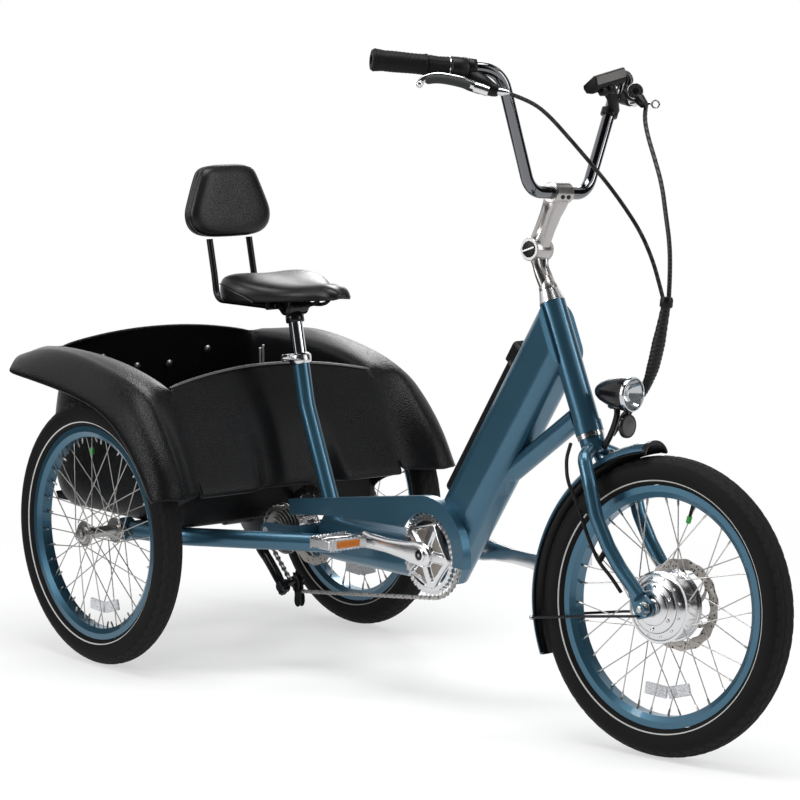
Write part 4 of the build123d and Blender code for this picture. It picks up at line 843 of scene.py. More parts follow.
def pedal(name, arm_y, outwards, angle):
    """A caged alloy pedal: two toothed plates, end pieces, a barrel round the axle, and amber reflectors."""
    eye = CRANK + spoke(angle, PEDAL_REACH)
    middle = eye + Y * (arm_y + outwards * 12.5 + outwards * 44)
    outline = [(-42 + number * 4.2, 9 if number % 2 else 11.6) for number in range(21)]
    outline += [(-x, -z) for x, z in outline]
    cage = Shape()
    lenses = Shape()
    for side in (-1, 1):
        cage.plate(outline, 2.4, middle + X * (side * 29.5 - 1.2), Y, Z, 0.2)
        cage.block(middle + Y * side * 42, (58, 4.5, 17), chamfer=1.5)
        cage.block(middle + X * side * 15, (26, 10, 10), chamfer=1.5)
        for y in (22, -22):
            cage.block(middle + X * side * 17 + Y * y, (24, 4, 13))
        lenses.block(middle + X * side * 31.2, (52, 3.4, 13), Y, Z)
    cage.turned(eye + Y * (arm_y - outwards * 6), Y * outwards,
                [(0, 4), (1, 6.5), (14, 6.5), (14, 9), (19, 9), (22, 11), (40, 9), (66, 10), (88, 11), (104, 8),
                 (105, 2)], 24)
    cage.make(f"{name}_cage", ALLOY, name, name, sharp=30)
    lenses.make(f"{name}_reflectors", REFLECTOR_AMBER, name)


pedal("right_pedal", *RIGHT_ARM)
pedal("left_pedal", *LEFT_ARM)


def chain_line():
    """Points a roller's pitch apart round the ring, the lower pulley and the cog."""
    wheels = [(CRANK, 81.5), (Vector((277, 0, 169.5)), 20), (Vector((215, 0, 262)), 43)]
    fine = []
    spans = []
    for (a, ra), (b, rb) in zip(wheels, wheels[1:] + wheels[:1]):
        gap = b - a
        way = gap.normalized()
        side = Vector((-way.z, 0, way.x))
        sine = (ra - rb) / gap.length
        normal = way * sine + side * sqrt(1 - sine ** 2)
        spans.append((a + normal * ra, b + normal * rb, atan2(normal.z, normal.x)))
    for number, (start, finish, angle) in enumerate(spans):
        fine += [start.lerp(finish, n / 60) for n in range(61)]
        centre, radius = wheels[(number + 1) % 3]
        following = spans[(number + 1) % 3][2]
        turn = -((angle - following) % (2 * pi))
        fine += [centre + spoke(angle + turn * n / 60) * radius for n in range(1, 60)]
    reach = [0.0]
    for a, b in zip(fine, fine[1:] + fine[:1]):
        reach.append(reach[-1] + (b - a).length)
    count = 2 * round(reach[-1] / (2 * CHAIN_PITCH))
    result = []
    number = 0
    for step in range(count):
        target = reach[-1] * step / count
        while reach[number + 1] < target:
            number += 1
        share = (target - reach[number]) / max(reach[number + 1] - reach[number], 1e-9)
        result.append(fine[number].lerp(fine[(number + 1) % len(fine)], share))
    return result


links = Shape()
rollers = chain_line()
waisted = [(-1, 0), (-0.85, 0.75), (-0.6, 1), (-0.3, 0.7), (0, 0.4), (0.3, 0.7), (0.6, 1), (0.85, 0.75)]
waisted += [(-x, -z) for x, z in waisted]
for number, (here, there) in enumerate(zip(rollers, rollers[1:] + rollers[:1])):
    along = there - here
    outline = [(x * (along.length / 2 + 3.6), z * 3.9) for x, z in waisted]
    for y in ((-47.6, -41.6) if number % 2 else (-46.4, -42.8)):
        links.plate(outline, 1.0, (here + there) / 2 + Y * y, along, (-along.z, 0, along.x), 0.1)
    links.tube([here - Y * 49.4, here - Y * 40.6], 1.9, 8)
links.make("chain_links", STEEL, "frame", "chain", sharp=30)

# ---------------------------------------------------------------- handlebar, stem and controls
def on_axis(z):
    """The point of the steering axis at height z."""
    return Vector((HEAD_AXIS - (z - WHEEL_Z) / tan(HEAD_ANGLE), 0, z))


BAR_TOP = Vector((943, 164, 1150))
GRIP_WAY = Vector((-sin(radians(36)), cos(radians(36)), tan(radians(2)))).normalized()
BAR_END = BAR_TOP + GRIP_WAY * 222
CLAMP = Vector((951, 0, 946))
PIVOT = on_axis(845)
BASE = on_axis(782)
ARM_WAY = (CLAMP - PIVOT).normalized()
ARM_FRONT = Vector((ARM_WAY.z, 0, -ARM_WAY.x))


def stem_section(centre, half_width, ahead, behind, groove):
    """A forged section: rounded corners and a shallow groove down each side."""
    rim = [(ahead, 0.55), (ahead * 0.8, 0.9), (ahead * 0.4, 1.0), (ahead * 0.25, 1.0 - groove),
           (-behind * 0.25, 1.0 - groove), (-behind * 0.4, 1.0), (-behind * 0.8, 0.9), (-behind, 0.55)]
    loop = [centre + ARM_FRONT * reach + Y * (half_width * share) for reach, share in rim]
    return loop + [centre + ARM_FRONT * reach - Y * (half_width * share) for reach, share in rim[::-1]]


stem = Shape()
stem.grid([stem_section(PIVOT + ARM_WAY * reach, *section) for reach, *section in (
    (-12, 13, 12, 12, 0), (-4, 17, 16, 15, 0), (10, 17, 17, 16, 0), (16, 16, 16, 15, 0.18), (40, 16, 15, 14, 0.22),
    (68, 18, 15, 13, 0.22), (82, 20, 17, 13, 0), (100, 22, 18, 15, 0), (108, 20, 12, 12, 0))],
    ring=True, caps=True)
stem.turned(CLAMP - Y * 23, Y, [(0, 11.3), (0, 17), (1.5, 18.5), (44.5, 18.5), (46, 17), (46, 11.3)], 40)
stem.turned(PIVOT - Y * 23, Y, [(0, 14.5), (0, 19), (2, 20.5), (44, 20.5), (46, 19), (46, 14.5)], 40)
for y in (-13, 13):
    root = PIVOT + Y * y
    foot = BASE + Y * (y * 0.35)
    mid = root.lerp(foot, 0.55) + Vector((-3, y * 0.05, 0))
    stem.tube(spline([root, root.lerp(mid, 0.5), mid, foot], 5),
              [13, 12.4, 11.8, 11, 10, 9.2, 8.6, 8.2, 8, 8.2, 8.8, 9.6, 10.4, 11, 11.6, 12], 18, 0.8)
stem.turned(BASE - STEER_UP * 8, STEER_UP, [(0, 13.5), (0, 17), (6, 17), (14, 14), (26, 11), (26, 5)], 32)
stem.make("forged_stem", FORGED, "steering", "stem", sharp=40)

caps = Shape()
lines = Shape()
for sign in (-1, 1):
    caps.turned(PIVOT + Y * (sign * 22.5), Y * sign, [(0, 14.4), (1.6, 14), (2, 13), (2, 0.5)], 32)
    lines.block(PIVOT + Y * (sign * 24.7), (26, 0.8, 3.2), (0.94, 0, 0.34), (-0.34, 0, 0.94), 0.2)
    caps.turned(CLAMP + Y * (sign * 8) + ARM_FRONT * 17, ARM_FRONT, [(0, 4), (3, 4), (3, 2), (2, 0.5)], 12)
caps.make("pivot_caps", TRIM_PLASTIC, "steering")
lines.make("pivot_slots", ALLOY, "steering")


def grip_ribs(n, along_grip):
    """Raised pads in rows round a rubber grip."""
    return 0.55 * (sin(n * 2 * pi / 6) > 0) * (sin(along_grip * 0.9) > -0.5)


def twist_ribs(n, along_grip):
    """Ridges along a twist shifter."""
    return 0.5 * (n % 4 < 2)


GRIP = ([(-4, 8), (-4, 14), (-3.4, 16.5), (-1, 18.6), (3, 19), (9, 18.6), (14, 17.8)]
        + [(16 + 1.4 * n, 17.6 + 0.35 * sin(n * 0.12)) for n in range(50)]
        + [(87, 17.6), (88, 18.6), (91, 18.6), (92, 17), (93, 15.5), (93, 11.3)])
TWIST = [(93.4, 11.3), (93.4, 16.6), (96, 17.2), (110, 16), (124, 16.4), (131, 17), (131, 11.3)]
SWITCH_BODY = [(131.4, 11.3), (131.4, 17), (134, 20), (145, 20.4), (160, 20), (163, 18), (163, 11.3)]
LEVER_CLAMP = [(163.5, 11.3), (163.5, 14), (165, 15.4), (176, 15.4), (178, 14), (178, 11.3)]
# the shifter's cable guide; the lever's housing, ferrule and hinge, its blade and the rubber pad on it
GUIDE = [(890, 196, 1154), (905, 184, 1153), (920, 176, 1149), (937, 172, 1139), (951, 174, 1127),
         (962, 178, 1117)]
HOUSING = [(900, 212, 1137), (911, 206, 1132), (932, 198, 1123), (948, 190, 1116), (958, 185, 1113)]
FERRULE = [(957, 185, 1113.5), (960, 183, 1113), (966, 179, 1112.4), (973, 175, 1112)]
HINGE = [(932, 219, 1119), (941, 211, 1116), (951, 203, 1112)]
BLADE = [(941, 212, 1117), (930, 226, 1123), (919, 240, 1129), (897, 262, 1133.5), (885, 275, 1132),
         (876, 286, 1126), (874, 292, 1119)]
PAD = [(931, 228, 1119.5), (919, 241.5, 1124), (900, 261, 1128), (887, 275, 1127.5), (879, 284, 1123)]
BALL = [(-6.6, 0.5), (-5.6, 3.4), (-3.3, 5.7), (0, 6.6), (3.3, 5.7), (5.6, 3.4), (6.6, 0.5)]

grips, twist, bodies, bright, rubber_pads = Shape(), Shape(), Shape(), Shape(), Shape()
for sign in (-1, 1):
    guide, housing, ferrule, hinge, blade, pad = [[on_side(point, sign) for point in line] for line in
                                                  (GUIDE, HOUSING, FERRULE, HINGE, BLADE, PAD)]
    end = on_side(BAR_END, sign)
    way = (on_side(BAR_TOP, sign) - end).normalized()
    low = end - Z * 2.8
    across_grip = way.cross(Z).normalized()
    grips.turned(low, way, GRIP, 48, grip_ribs)
    for angle in around(24):
        spot = low + way * 3 + (across_grip * cos(angle) + across_grip.cross(way) * sin(angle)) * 18.4
        grips.turned(spot - way * 1.5, way, [(-1.6, 0.3), (-1, 1.3), (1, 1.3), (1.6, 0.3)], 8)
    twist.turned(low, way, TWIST, 48, twist_ribs)
    bodies.turned(low - Z, way, SWITCH_BODY, 40)
    bodies.block(low + way * 148 + Z * 4, (24, 24, 26), way, Z, 4)
    bodies.turned(end, way, LEVER_CLAMP, 32)
    bodies.tube(spline(guide, 4), [5.5, 5.5, 5, 4.2, 3.4] + [2.8] * 16, 14)
    bodies.tube(spline(housing, 5),
                [12, 15, 16, 16.5] + [17] * 3 + [16.5, 16, 15.5, 15, 14, 13, 12, 11, 10.5, 10, 9.5, 9, 8.4, 7.4],
                20, 1.15)
    bright.turned(low, way, [(129.6, 16), (129.6, 17.6), (131.2, 17.6), (131.2, 16)], 32)
    bright.tube(ferrule, [6.6, 7, 6, 3.6], 16)
    bright.tube(hinge, [8, 8.6, 8], 16, 1.1)
    bright.tube(spline(blade, 4),
                [4, 4, 3.9, 3.8, 3.8, 3.7, 3.6, 3.6, 3.6, 3.5] + [3.4] * 10 + [3.3, 3.2, 3, 2.8, 2.6], 14, 1.9)
    bright.turned(blade[-1] - Z, Z, BALL, 20)
    rubber_pads.tube(spline(pad, 5), [2, 4.6, 4.9] + [5] * 13 + [4.9, 4.8, 4.4, 3.8, 2], 14, 1.55)
grips.make("grips_ribbed", RUBBER, "steering", "grips", sharp=30)
twist.make("twist_shifters", RUBBER, "steering", sharp=30)
bodies.make("lever_bodies", TRIM_PLASTIC, "steering", "brake_levers", sharp=45)
bright.make("lever_blades", ALLOY, "steering", sharp=45)
rubber_pads.make("lever_pads", PAD_RUBBER, "steering", sharp=60)

# the left lever's round pivot boss and cable ring
BOSS = Vector((985, 158.5, 1131))
BOSS_FACE = Vector((0.65, -0.75, 0.05)).normalized()
boss = Shape()
boss.turned(BOSS, BOSS_FACE,
            [(-16, 0.5), (-16, 9), (-12, 13), (-3, 14.4), (0, 14.4), (1.6, 13.4), (1.8, 6), (1, 5.6)], 36)
boss.turned((1012, 184, 1109.6), BOSS_FACE,
            [(-1.6, 5.6), (-1.8, 7.2), (0, 8.2), (1.8, 7.2), (1.6, 5.6), (0, 5), (-1.6, 5.6)], 24)
boss.tube([(972, 178, 1112), (990, 182, 1112), (1006, 184, 1110)], [4.6, 3.6, 2.4])
boss.make("lever_boss", ALLOY, "steering")
core = Shape().turned(BOSS, BOSS_FACE, [(0.6, 6.2), (1.2, 5.6), (0.8, 0.5)], 20)
core.tube([(966, 172, 1126), (985, 168, 1120), (1000, 166, 1108)], [13, 11, 8], 16)
core.make("lever_boss_core", TRIM_PLASTIC, "steering")

FOOT = Vector((951, 78, 946))
RISER = (BAR_TOP - FOOT).normalized()
MOUNT = FOOT + RISER * 150
DISPLAY = Vector((978, 96, 1153))
ACROSS = Vector((0.1, 1, 0.27)).normalized()
RISE = Vector((-0.12, -0.26, 0.96)).normalized()
OUT = ACROSS.cross(RISE)
WEDGE = [(0, 8), (0, -9), (3, -16), (16, -22), (30, -20), (35, -12), (34, -6), (4, 9.5)]
display = Shape()
display.turned(MOUNT, RISER, [(0, 11.3), (0, 14.5), (1, 15.5), (13, 15.5), (14, 14.5), (14, 11.3)], 32)
display.tube([MOUNT + RISER * 7 + Vector((8, 4, 4)), MOUNT.lerp(DISPLAY, 0.5) + Vector((2, 4, 0)),
              DISPLAY - OUT * 16 - RISE * 8], [9, 11, 15], 16)
display.grid([[DISPLAY + ACROSS * 38 * share + RISE * (z - inset * (z > 0)) - OUT * (x + inset * (x < 5))
               for x, z in WEDGE] for share, inset in ((-1, 2.5), (-0.96, 0), (0.96, 0), (1, 2.5))],
             ring=True, caps=True)
for spot in (-20, -2):
    display.turned(DISPLAY + ACROSS * spot - RISE * 22 - OUT * 12, OUT,
                   [(0, 0.5), (0, 8), (10, 8), (13, 6), (14, 3), (13, 0.4)], 18)
display.make("display_unit", TRIM_PLASTIC, "steering", "display", sharp=30)
Shape().block(DISPLAY + OUT * 0.6 - RISE * 0.4, (73, 1.4, 14.5), ACROSS, RISE, 0.5).make(
    "display_front", PANEL_GREY, "steering", sharp=20)
slope = (RISE * 15.5 + OUT * 30).normalized()
Shape().block(DISPLAY - OUT * 19.5 + RISE * 2.6, (66, 24, 1.6), ACROSS, ACROSS.cross(slope), 0.4).make(
    "display_screen", SCREEN, "steering", sharp=20)

# ---------------------------------------------------------------- lamp and front fender
LAMP = Vector((1059, 0, 610))
Shape().turned(LAMP, X, [
    (0, 0.5), (1, 6), (5, 11), (14, 17), (30, 23), (48, 27.5), (62, 29.6), (72, 30), (76, 30), (76, 27), (68, 25)],
    56).make("headlight_shell", LAMP_BLACK, "steering", "headlight", sharp=50)
Shape().turned(LAMP, X, [(74, 30.2), (80, 30.4), (82, 29.4), (82, 27.6), (79, 27), (76, 27)], 56).make(
    "headlight_ring", CHROME, "steering")
bowl = Shape().turned(LAMP, X, [(78, 27), (70, 23), (62, 16), (58, 8), (57, 5)], 56)
bowl.turned(LAMP, X, [(57, 5), (66, 4.6), (70, 3), (71, 0.5)], 16)
bowl.make("headlight_bowl", CHROME, "steering")
Shape().turned(LAMP, X, [(79.5, 27), (81.5, 20), (82.6, 10), (83, 0.5)], 56).make(
    "headlight_lens", LENS, "steering")
lamp_arm = Shape()
lamp_arm.tube(spline([(x, 0, z) for x, z in ((1082, 512), (1089, 524), (1097, 540), (1103, 556), (1107, 574),
                                             (1104, 592))], 5), 5.5, 14)
lamp_arm.turned((1126, 0, 555), X, [(0, 0.5), (0, 18), (1.5, 21), (7, 21), (8.5, 20), (8.5, 18.4), (7, 17.6)], 40)
lamp_arm.tube([(1122, 0, 592), (1127, 0, 582), (1129, 0, 572)], [6, 5, 4])
lamp_arm.block((1104, 0, 588), (22, 26, 12), chamfer=3)
lamp_arm.make("lamp_arm", LAMP_BLACK, "steering", "lamp_bracket", sharp=40)
Shape().turned((1133, 0, 555), X, [(0, 18), (1.4, 17.4), (2.2, 10), (2.6, 0.5)], 40).make(
    "lamp_reflector", REFLECTOR_DARK, "steering")

# the fender's black lining, up the inside, round the front lip as a bead, and back; each row is an angle round the
# wheel, then how far it stands proud of the fender's skin, how much lower its edges hang and how much wider it is
FRONT = Vector((FRONT_AXLE, 0, WHEEL_Z))
GUARD_CROWN, GUARD_EDGE, GUARD_HALF = 282, 266, 32
GUARD_CURVE = 1.32
ALONG_GUARD = [205 - 104 * step / 26 for step in range(27)]
LINING = ([(angle, -1.4, 2.5, -1.2) for angle in ALONG_GUARD]
          + [(100, 0.9, 3.5, 0.9), (98.5, 0.9, 4, 0.9), (98.2, -1, 4, -1), (98.5, -3.4, 4, -3.2)]
          + [(angle, -3.2, 2, -3.2) for angle in ALONG_GUARD[::-1]])
rows = []
for angle, proud, drop, wider in LINING:
    row = []
    for bend in [GUARD_CURVE * (step / 8 - 1) for step in range(17)]:
        fall = (GUARD_CROWN - GUARD_EDGE + drop) * (1 - cos(bend)) / (1 - cos(GUARD_CURVE))
        side = (GUARD_HALF + wider) * sin(bend) / sin(GUARD_CURVE)
        row.append(FRONT + Y * side + spoke(radians(angle)) * (GUARD_CROWN + proud - fall))
    rows.append(row)
Shape().grid(rows, closed=True).make("fender_lining", TRIM_PLASTIC, "steering", sharp=50, weld=0.00001)

bolts = Shape()
crown_up = spoke(radians(118))
bolts.turned(FRONT + crown_up * 280, crown_up, [(0, 8), (2, 8), (2, 5), (7, 5), (8, 4), (8, 0.5)], 6)
for sign in (-1, 1):
    bolts.turned((972, sign * 33.5, 205), Y * sign, [(0, 4.5), (3, 4.5), (4, 3), (4, 0.5)], 12)
bolts.make("fender_bolts", STEEL, "steering")

# ---------------------------------------------------------------- hubs, axles and brake discs
front_hub = Shape().turned(FRONT, Y, [
    (-46, 7.3), (-46, 14), (-44, 15), (-41, 16), (-40, 24), (-38.5, 29), (-37, 30.5), (-35, 31), (-34, 33),
    (-33.6, 40), (-32, 43), (-30, 44.5), (-28.5, 45), (-28, 47), (-26.5, 52), (-24, 55.5), (-22, 57.5), (-21, 58),
    (-20.6, 61.4), (-20, 62), (-18, 62), (-17.4, 61.4), (-17, 58), (-16, 57), (16, 57), (17, 58), (17.4, 61.4),
    (18, 62), (20, 62), (20.6, 61.4), (21, 58), (24, 56), (27, 50), (28, 41), (30, 39.5), (34, 38), (35, 30),
    (36, 24), (40.7, 24), (40.7, 7.3)], 96)
for y, reach, count, size in ((-33.8, 36.5, 6, 2.6), (-26.2, 50, 12, 2.0)):
    front_hub.studs(around(count, shift=0.5), FRONT + Y * y, reach, -Y,
                    [(0, size + 0.8), (1.4, size + 0.6), (1.8, size), (1.2, size * 0.5), (1.2, 0.2)], 12)
front_hub.make("hub_motor", ALLOY, "front_wheel", "front_hub", sharp=28)


def disc(name, centre, body, node):
    """A brake disc: scalloped rim, six swept arms and a carrier with its bolts."""
    rotor = Shape()
    rim = [spoke(angle, 62 + 1.2 * cos(15 * angle)).xz for angle in around(180)]
    edge = [spoke(angle, 80 - 2.2 * (0.5 + 0.5 * cos(15 * angle))).xz for angle in around(180)]
    rotor.flat_ring(centre, rim, edge, -0.9, 0.9)
    for angle in around(6):
        rotor.grid([[centre + spoke(angle + sweep + half / reach, reach) + Y * y
                     for half, y in ((-4, -0.9), (4, -0.9), (4, 0.9), (-4, 0.9))]
                    for reach, sweep in ((20, 0), (27, 0.05), (34, 0.14), (41, 0.23), (48, 0.34), (56, 0.46),
                                         (63, 0.6))], ring=True, caps=True)
    rotor.turned(centre, Y, [(-1.6, 9.5), (-1.6, 23), (-1, 24), (1, 24), (1.6, 23), (1.6, 9.5)], 40)
    rotor.studs(around(6), centre - Y * 1.2, 17.5, -Y, [(0, 3.4), (1.6, 3.2), (2, 2), (2, 0.3)], 10)
    rotor.make(name, DISC, body, node, sharp=40)


disc("front_disc", FRONT + Y * 42, "front_wheel", "front_rotor")
disc("rear_disc", Vector((215, 37.3, 262)), "frame", "rear_rotor")

for name, sign in SIDES:
    middle = Vector((0, sign * TRACK, WHEEL_Z))
    rear_hub = Shape().turned(middle, Y * sign, [
        (-55, 7.4), (-55, 15), (-53, 16), (-38, 16), (-37.5, 24), (-36.5, 25), (-34.5, 25), (-33.5, 24), (-33, 14),
        (-26, 11.5), (0, 10.5), (24, 11.5), (32, 14), (32.5, 24), (33.5, 25), (35.5, 25), (36.5, 24), (37, 16),
        (41, 15), (42, 12), (42, 9.5)], 64)
    rear_hub.turned(middle, Y * sign, [(41.5, 9.8), (44, 9.8), (44, 9), (50, 9), (50.4, 5), (50.4, 0.4)], 6)
    for flange in (-35.5, 34.5):
        rear_hub.studs(around(SPOKES // 2), middle + Y * (sign * flange), 21.5, Y * sign,
                       [(-3.2, 0.4), (-3.2, 2), (3.2, 2), (3.2, 0.4)], 6)
    rear_hub.make(f"{name}_hub_shell", STEEL, f"{name}_wheel", f"{name}_hub", sharp=30)

NUT = [(0, 13), (1.6, 13), (1.6, 11), (9, 11), (10.5, 9.5), (10.5, 6.5), (15, 6.3), (15.5, 5), (15.5, 0.4)]
nuts = Shape()
for sign in (-1, 1):
    nuts.turned(FRONT + Y * (sign * 60), Y * sign, NUT, 6)
nuts.make("axle_nuts", STEEL, "steering")

# ---------------------------------------------------------------- derailleur, seat clamp and collar
PULLEY = Vector((275, -45, 169.5))
CAGE = [(-5, 7), (-2, 11), (3, 12), (8, 10), (12, 0), (13, -14), (17, -30), (17, -40), (13, -47), (7, -50),
        (0, -47), (-3, -40), (-2, -28), (-3, -12)]
gear = Shape()
gear.tube(spline([(208, -64, 256), (194, -67, 238), (192, -68, 222), (209, -66, 203), (228, -64, 182),
                  (247, -62, 158)], 4),
          [17, 18, 19, 19, 18, 17, 16, 15, 14, 13, 12.5] + [12] * 7 + [11.6, 11, 10], 16, 0.7)
gear.turned((210, -60, 258), -Y, [(0, 9), (0, 15), (12, 15), (16, 12), (16, 1)], 28)
gear.turned((250, -54, 157), -Y, [(0, 9), (0, 13), (15, 13), (18, 10), (18, 1)], 24)
gear.turned((254, -70, 147), -Y, [(-10, 6), (0, 7), (3, 5), (3, 1)], 6)
for y in (4, -5.4):
    gear.plate(CAGE, 1.4, PULLEY + Y * y, X, Z, 0.2)
gear.tube([(250, -58, 159), (262, -54, 163), PULLEY - Y * 6], [7, 5.5, 4.5])
gear.turned(PULLEY - Y * 8.6, Y, [(0, 0.5), (0, 3.6), (2, 4.4), (8, 4.4)], 12)
gear.make("rear_derailleur", LAMP_BLACK, "frame", "derailleur", sharp=40)
pulley_teeth = ring_outline(12, 19.5, 15.5)
pulley = Shape().flat_ring(PULLEY, bore_outline(pulley_teeth, 8), pulley_teeth, -2.5, 2.5, 0.5)
pulley.turned(PULLEY - Y * 4, Y, [(0, 0.5), (0, 6), (8, 6), (8, 0.5)], 16)
pulley.make("jockey_wheel", TRIM_PLASTIC, "frame", sharp=30)

SEAT_TOP = Vector((225, 0, 600))
SEAT_UP = (SEAT_TOP - Vector((246, 0, 505))).normalized()
HEAD = SEAT_TOP + SEAT_UP * 76
lug = SEAT_TOP - SEAT_UP * 9
collar = Shape()
collar.turned(SEAT_TOP - SEAT_UP * 19, SEAT_UP,
              [(0, 16.8), (0, 20), (2, 21.5), (16, 21.5), (18, 20), (20.5, 17), (20.5, 14)], 44)
for sign in (-1, 1):
    collar.block(lug + Vector((-24, sign * 6, 0)), (14, 8, 15), chamfer=2)
collar.turned(lug + Vector((-25, -24, 0)), Y,
              [(0, 0.5), (0, 6), (2, 7.5), (12, 7.5), (12, 4), (40, 4), (40, 7), (46, 7), (47, 5), (47, 0.5)], 24)
lever = [lug + Vector(step) for step in ((-25, -20, 0), (-10, -27, 1), (10, -29, 2), (30, -26, 3))]
collar.tube(spline(lever, 5), [4, 4.4, 4.8] + [5] * 7 + [4.8, 4.6, 4.4, 4, 3.6, 3], 14, 0.55)
collar.make("quick_release", ALLOY, "frame", "seat_collar", sharp=40)

RAIL = [(112, 34, 709), (119, 31, 700), (132, 25, 697), (180, 23, 697), (250, 21, 697), (282, 16, 701),
        (300, 12, 708)]
carriage = Shape()
carriage.turned(HEAD - SEAT_UP * 14, SEAT_UP, [(0, 14), (0, 17), (2, 18), (14, 18), (20, 14), (20, 1)], 32)
carriage.turned((208, -27, 690), Y,
                [(0, 0.5), (0, 12), (3, 15), (8, 15.5), (46, 15.5), (51, 15), (54, 12), (54, 0.5)], 32)
carriage.turned((208, -34, 690), Y,
                [(0, 0.5), (0, 6), (7, 6.5), (7, 8), (61, 8), (61, 6.5), (68, 6), (68, 0.5)], 6)
for sign in (-1, 1):
    carriage.tube(spline([on_side(point, sign) for point in RAIL], 5), 3.6)
    carriage.block((208, sign * 23, 697), (38, 9, 16), chamfer=3)
carriage.tube([(176, -42, 691), (176, 42, 691)], 7, 14)
carriage.block((176, 0, 691), (20, 60, 12), chamfer=2)
carriage.make("saddle_clamp", LAMP_BLACK, "seat", "seat_clamp", sharp=40)
for name, sign in SIDES:
    coil = Shape().turned((122, sign * 60, 699), Z,
                          [(0, 0.5), (0, 12), (3, 13), (6, 10), (9, 13), (12, 10), (14, 12), (14, 0.5)], 24)
    coil.make(f"{name}_saddle_spring", RUBBER, "seat")


# ---------------------------------------------------------------- free cables
def sleeve_on(bare, sizes):
    """A wound sleeve over a cable: sizes gives its radius at shares of the length."""
    last = sizes[-1][0]
    path = [vertex.co * 1000 + X * REAR_AXLE for vertex in bare.vertices]
    path = path[:round(len(path) * last)]
    radii = []
    for number in range(len(path)):
        share = number / (len(path) - 1) * last
        (low, thin), (high, thick) = next((a, b) for a, b in zip(sizes, sizes[1:]) if share <= b[0] + 1e-6)
        radii.append(thin + (thick - thin) * (share - low) / (high - low) + 0.35 * sin(number * 1.9))
    return Shape().tube(path, radii, 20)


def cable(name, route, radius, node, wrap=()):
    """A free cable along its given points, and the wound sleeve on it."""
    curve = bpy.data.curves.new(name, "CURVE")
    curve.dimensions = "3D"
    curve.resolution_u = 14
    curve.use_fill_caps = True
    line = curve.splines.new("NURBS")
    line.points.add(len(route) - 1)
    for spot, point in zip(line.points, route):
        spot.co = (*(TURNED @ at(*point)), 1)
    line.order_u = 3
    line.use_endpoint_u = True
    obj = bpy.data.objects.new(name, curve)
    scene.collection.objects.link(obj)
    pieces = ()
    if wrap:
        bare = bpy.data.meshes.new_from_object(obj)
        sleeve = sleeve_on(bare, wrap)
        bpy.data.meshes.remove(bare)
        pieces = (sleeve.make(f"{name}_wrap", WRAP, "steering", sharp=60, at_rest=True),)
    curve.bevel_depth = radius / 1000
    curve.bevel_resolution = 4
    CABLE.on(obj)
    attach(obj, "steering")
    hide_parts(node)


RIGHT_ROUTE = [(990, -190, 1109), (1001, -153, 1100), (1014, -120, 1080), (1036, -88, 1043), (1064, -60, 1002),
               (1091, -35, 962), (1117, -15, 921), (1138, -1, 885), (1157, 9, 842), (1169, 15, 804),
               (1177, 21.5, 771)]
LEFT_ROUTE = [(990, 186, 1107), (1010, 155, 1089), (1040, 128, 1055), (1074, 110, 1011), (1107, 90, 969),
              (1134, 70, 918), (1159, 53, 868), (1173, 40, 814), (1180, 30.5, 771.5)]
BUNDLE_ROUTE = [(1179, 26, 769), (1173, 26, 731), (1163, 29, 688), (1150, 36, 652), (1134, 42, 622),
                (1114, 42, 594), (1098, 32, 567), (1084, 17, 536)]
SLEEVE = ((0, 8), (0.06, 9), (0.2, 11.5), (0.4, 11), (0.5, 9), (0.75, 7.4), (1, 6.6))
tie = Shape().turned((1179, 26, 771), (0.05, 0, 1),
                     [(-9, 1), (-9, 10), (-7, 11.4), (4, 11.4), (9, 9.6), (10, 2)], 24)
tie.make("cable_tie", TRIM_PLASTIC, "steering")
cable("right_cable_run", RIGHT_ROUTE, 3.6, "right_cable")
cable("left_cable_run", LEFT_ROUTE, 4, "left_cable")
cable("cable_bundle_run", BUNDLE_ROUTE, 6, "cable_bundle", SLEEVE)

# ---------------------------------------------------------------- studio
WHITE = (1, 1, 1, 1)
world = bpy.data.worlds.new("studio")
scene.world = world
world.use_nodes = True
sky = Nodes(world.node_tree)
dim = sky.node("Background", None, {"Color": (0.86, 0.88, 0.90, 1), "Strength": 0.42})
white = sky.node("Background", None, {"Color": WHITE, "Strength": 1.0})
sky.close("World Output", sky.seen_rays(), dim, white)


def lamp(name, place, aim, size, watts):
    """A soft rectangular lamp aimed at a point."""
    data = bpy.data.lights.new(name, "AREA")
    data.shape = "RECTANGLE"
    data.size, data.size_y = size
    data.energy = watts
    obj = bpy.data.objects.new(name, data)
    scene.collection.objects.link(obj)
    obj.location = place
    obj.rotation_euler = (Vector(aim) - Vector(place)).to_track_quat("-Z", "Y").to_euler()


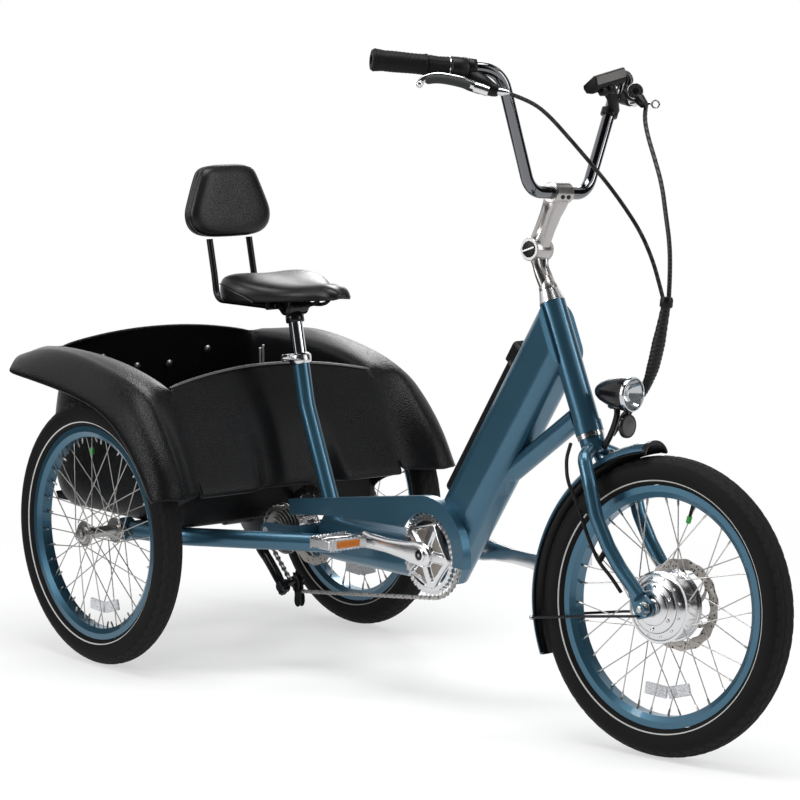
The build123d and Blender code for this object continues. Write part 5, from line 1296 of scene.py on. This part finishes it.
def dark_wall(name, low_reach, high_reach, start, finish, low, high):
    """A curved black wall for the metal to mirror, from start to finish in degrees round the model."""
    points, faces = [], []
    for step in range(25):
        angle = radians(start + (finish - start) * step / 24)
        points += [(reach * cos(angle), reach * sin(angle), z)
                   for reach, z in ((low_reach, low), (high_reach, high))]
        if step:
            faces.append((2 * step - 2, 2 * step, 2 * step + 1, 2 * step - 1))
    mesh = bpy.data.meshes.new(name)
    mesh.from_pydata(points, [], faces)
    obj = bpy.data.objects.new(name, mesh)
    scene.collection.objects.link(obj)
    DARK.on(obj)
    obj.visible_camera = False
    obj.visible_shadow = False
    obj.visible_diffuse = False


lamp("overhead", (0.2, -0.3, 3.4), (0, 0, 0.4), (2.6, 1.6), 88)
lamp("side", (-0.9, -3.2, 2.0), (0, 0, 0.5), (0.42, 2.4), 46)
lamp("front", (3.0, 1.9, 1.9), (0, 0, 0.5), (0.7, 2.2), 34)
lamp("back", (-2.6, 2.4, 2.4), (0, 0, 0.5), (0.7, 1.8), 30)
DARK = Finish("dark_wall", (0.02, 0.021, 0.023), 0.9)
dark_wall("wall_right", 7.5, 7.5, -92, 2, 0.0, 8.5)
dark_wall("wall_left", 7.0, 7.0, 30, 84, 0.0, 6.5)
dark_wall("wall_low", 1.75, 1.75, -112, -166, 0.0, 0.95)
dark_wall("ceiling", 7.5, 0.01, 0, 360, 8.4, 8.6)

# near the object the lit floor keeps its shadow; further out the floor turns into the white background
bpy.ops.mesh.primitive_plane_add(size=60, location=(0, 0, 0))
floor = bpy.context.object
floor.name = "floor"
paint = Finish("floor_paint", (0.90, 0.90, 0.90), 0.85, specular=0.15)
glow = paint.node("Emission", None, {"Color": WHITE, "Strength": 1.0})
away = paint.node("VectorMath", {"operation": "LENGTH"}, {0: paint.place()}, out="Value")
fade = paint.node("MapRange", {"interpolation_type": "SMOOTHSTEP"},
                  {"Value": away, "From Min": 0.9, "From Max": 2.6, "To Min": 0.55, "To Max": 1.0})
paint.close("Material Output", fade * paint.seen_rays(), Shade(paint, paint.shader.outputs[0]), glow)
paint.on(floor)

camera = bpy.data.objects.new("camera", bpy.data.cameras.new("camera"))
scene.collection.objects.link(camera)
camera.data.lens = 143.47
camera.data.sensor_width = 36
camera.data.clip_end = 200
camera.location = at(5076.4, -3709.3, 1293.7)
camera.rotation_euler = (at(530.47, 0, 541.2) - camera.location).to_track_quat("-Z", "Y").to_euler()
scene.camera = camera
scene.view_settings.view_transform = "Standard"
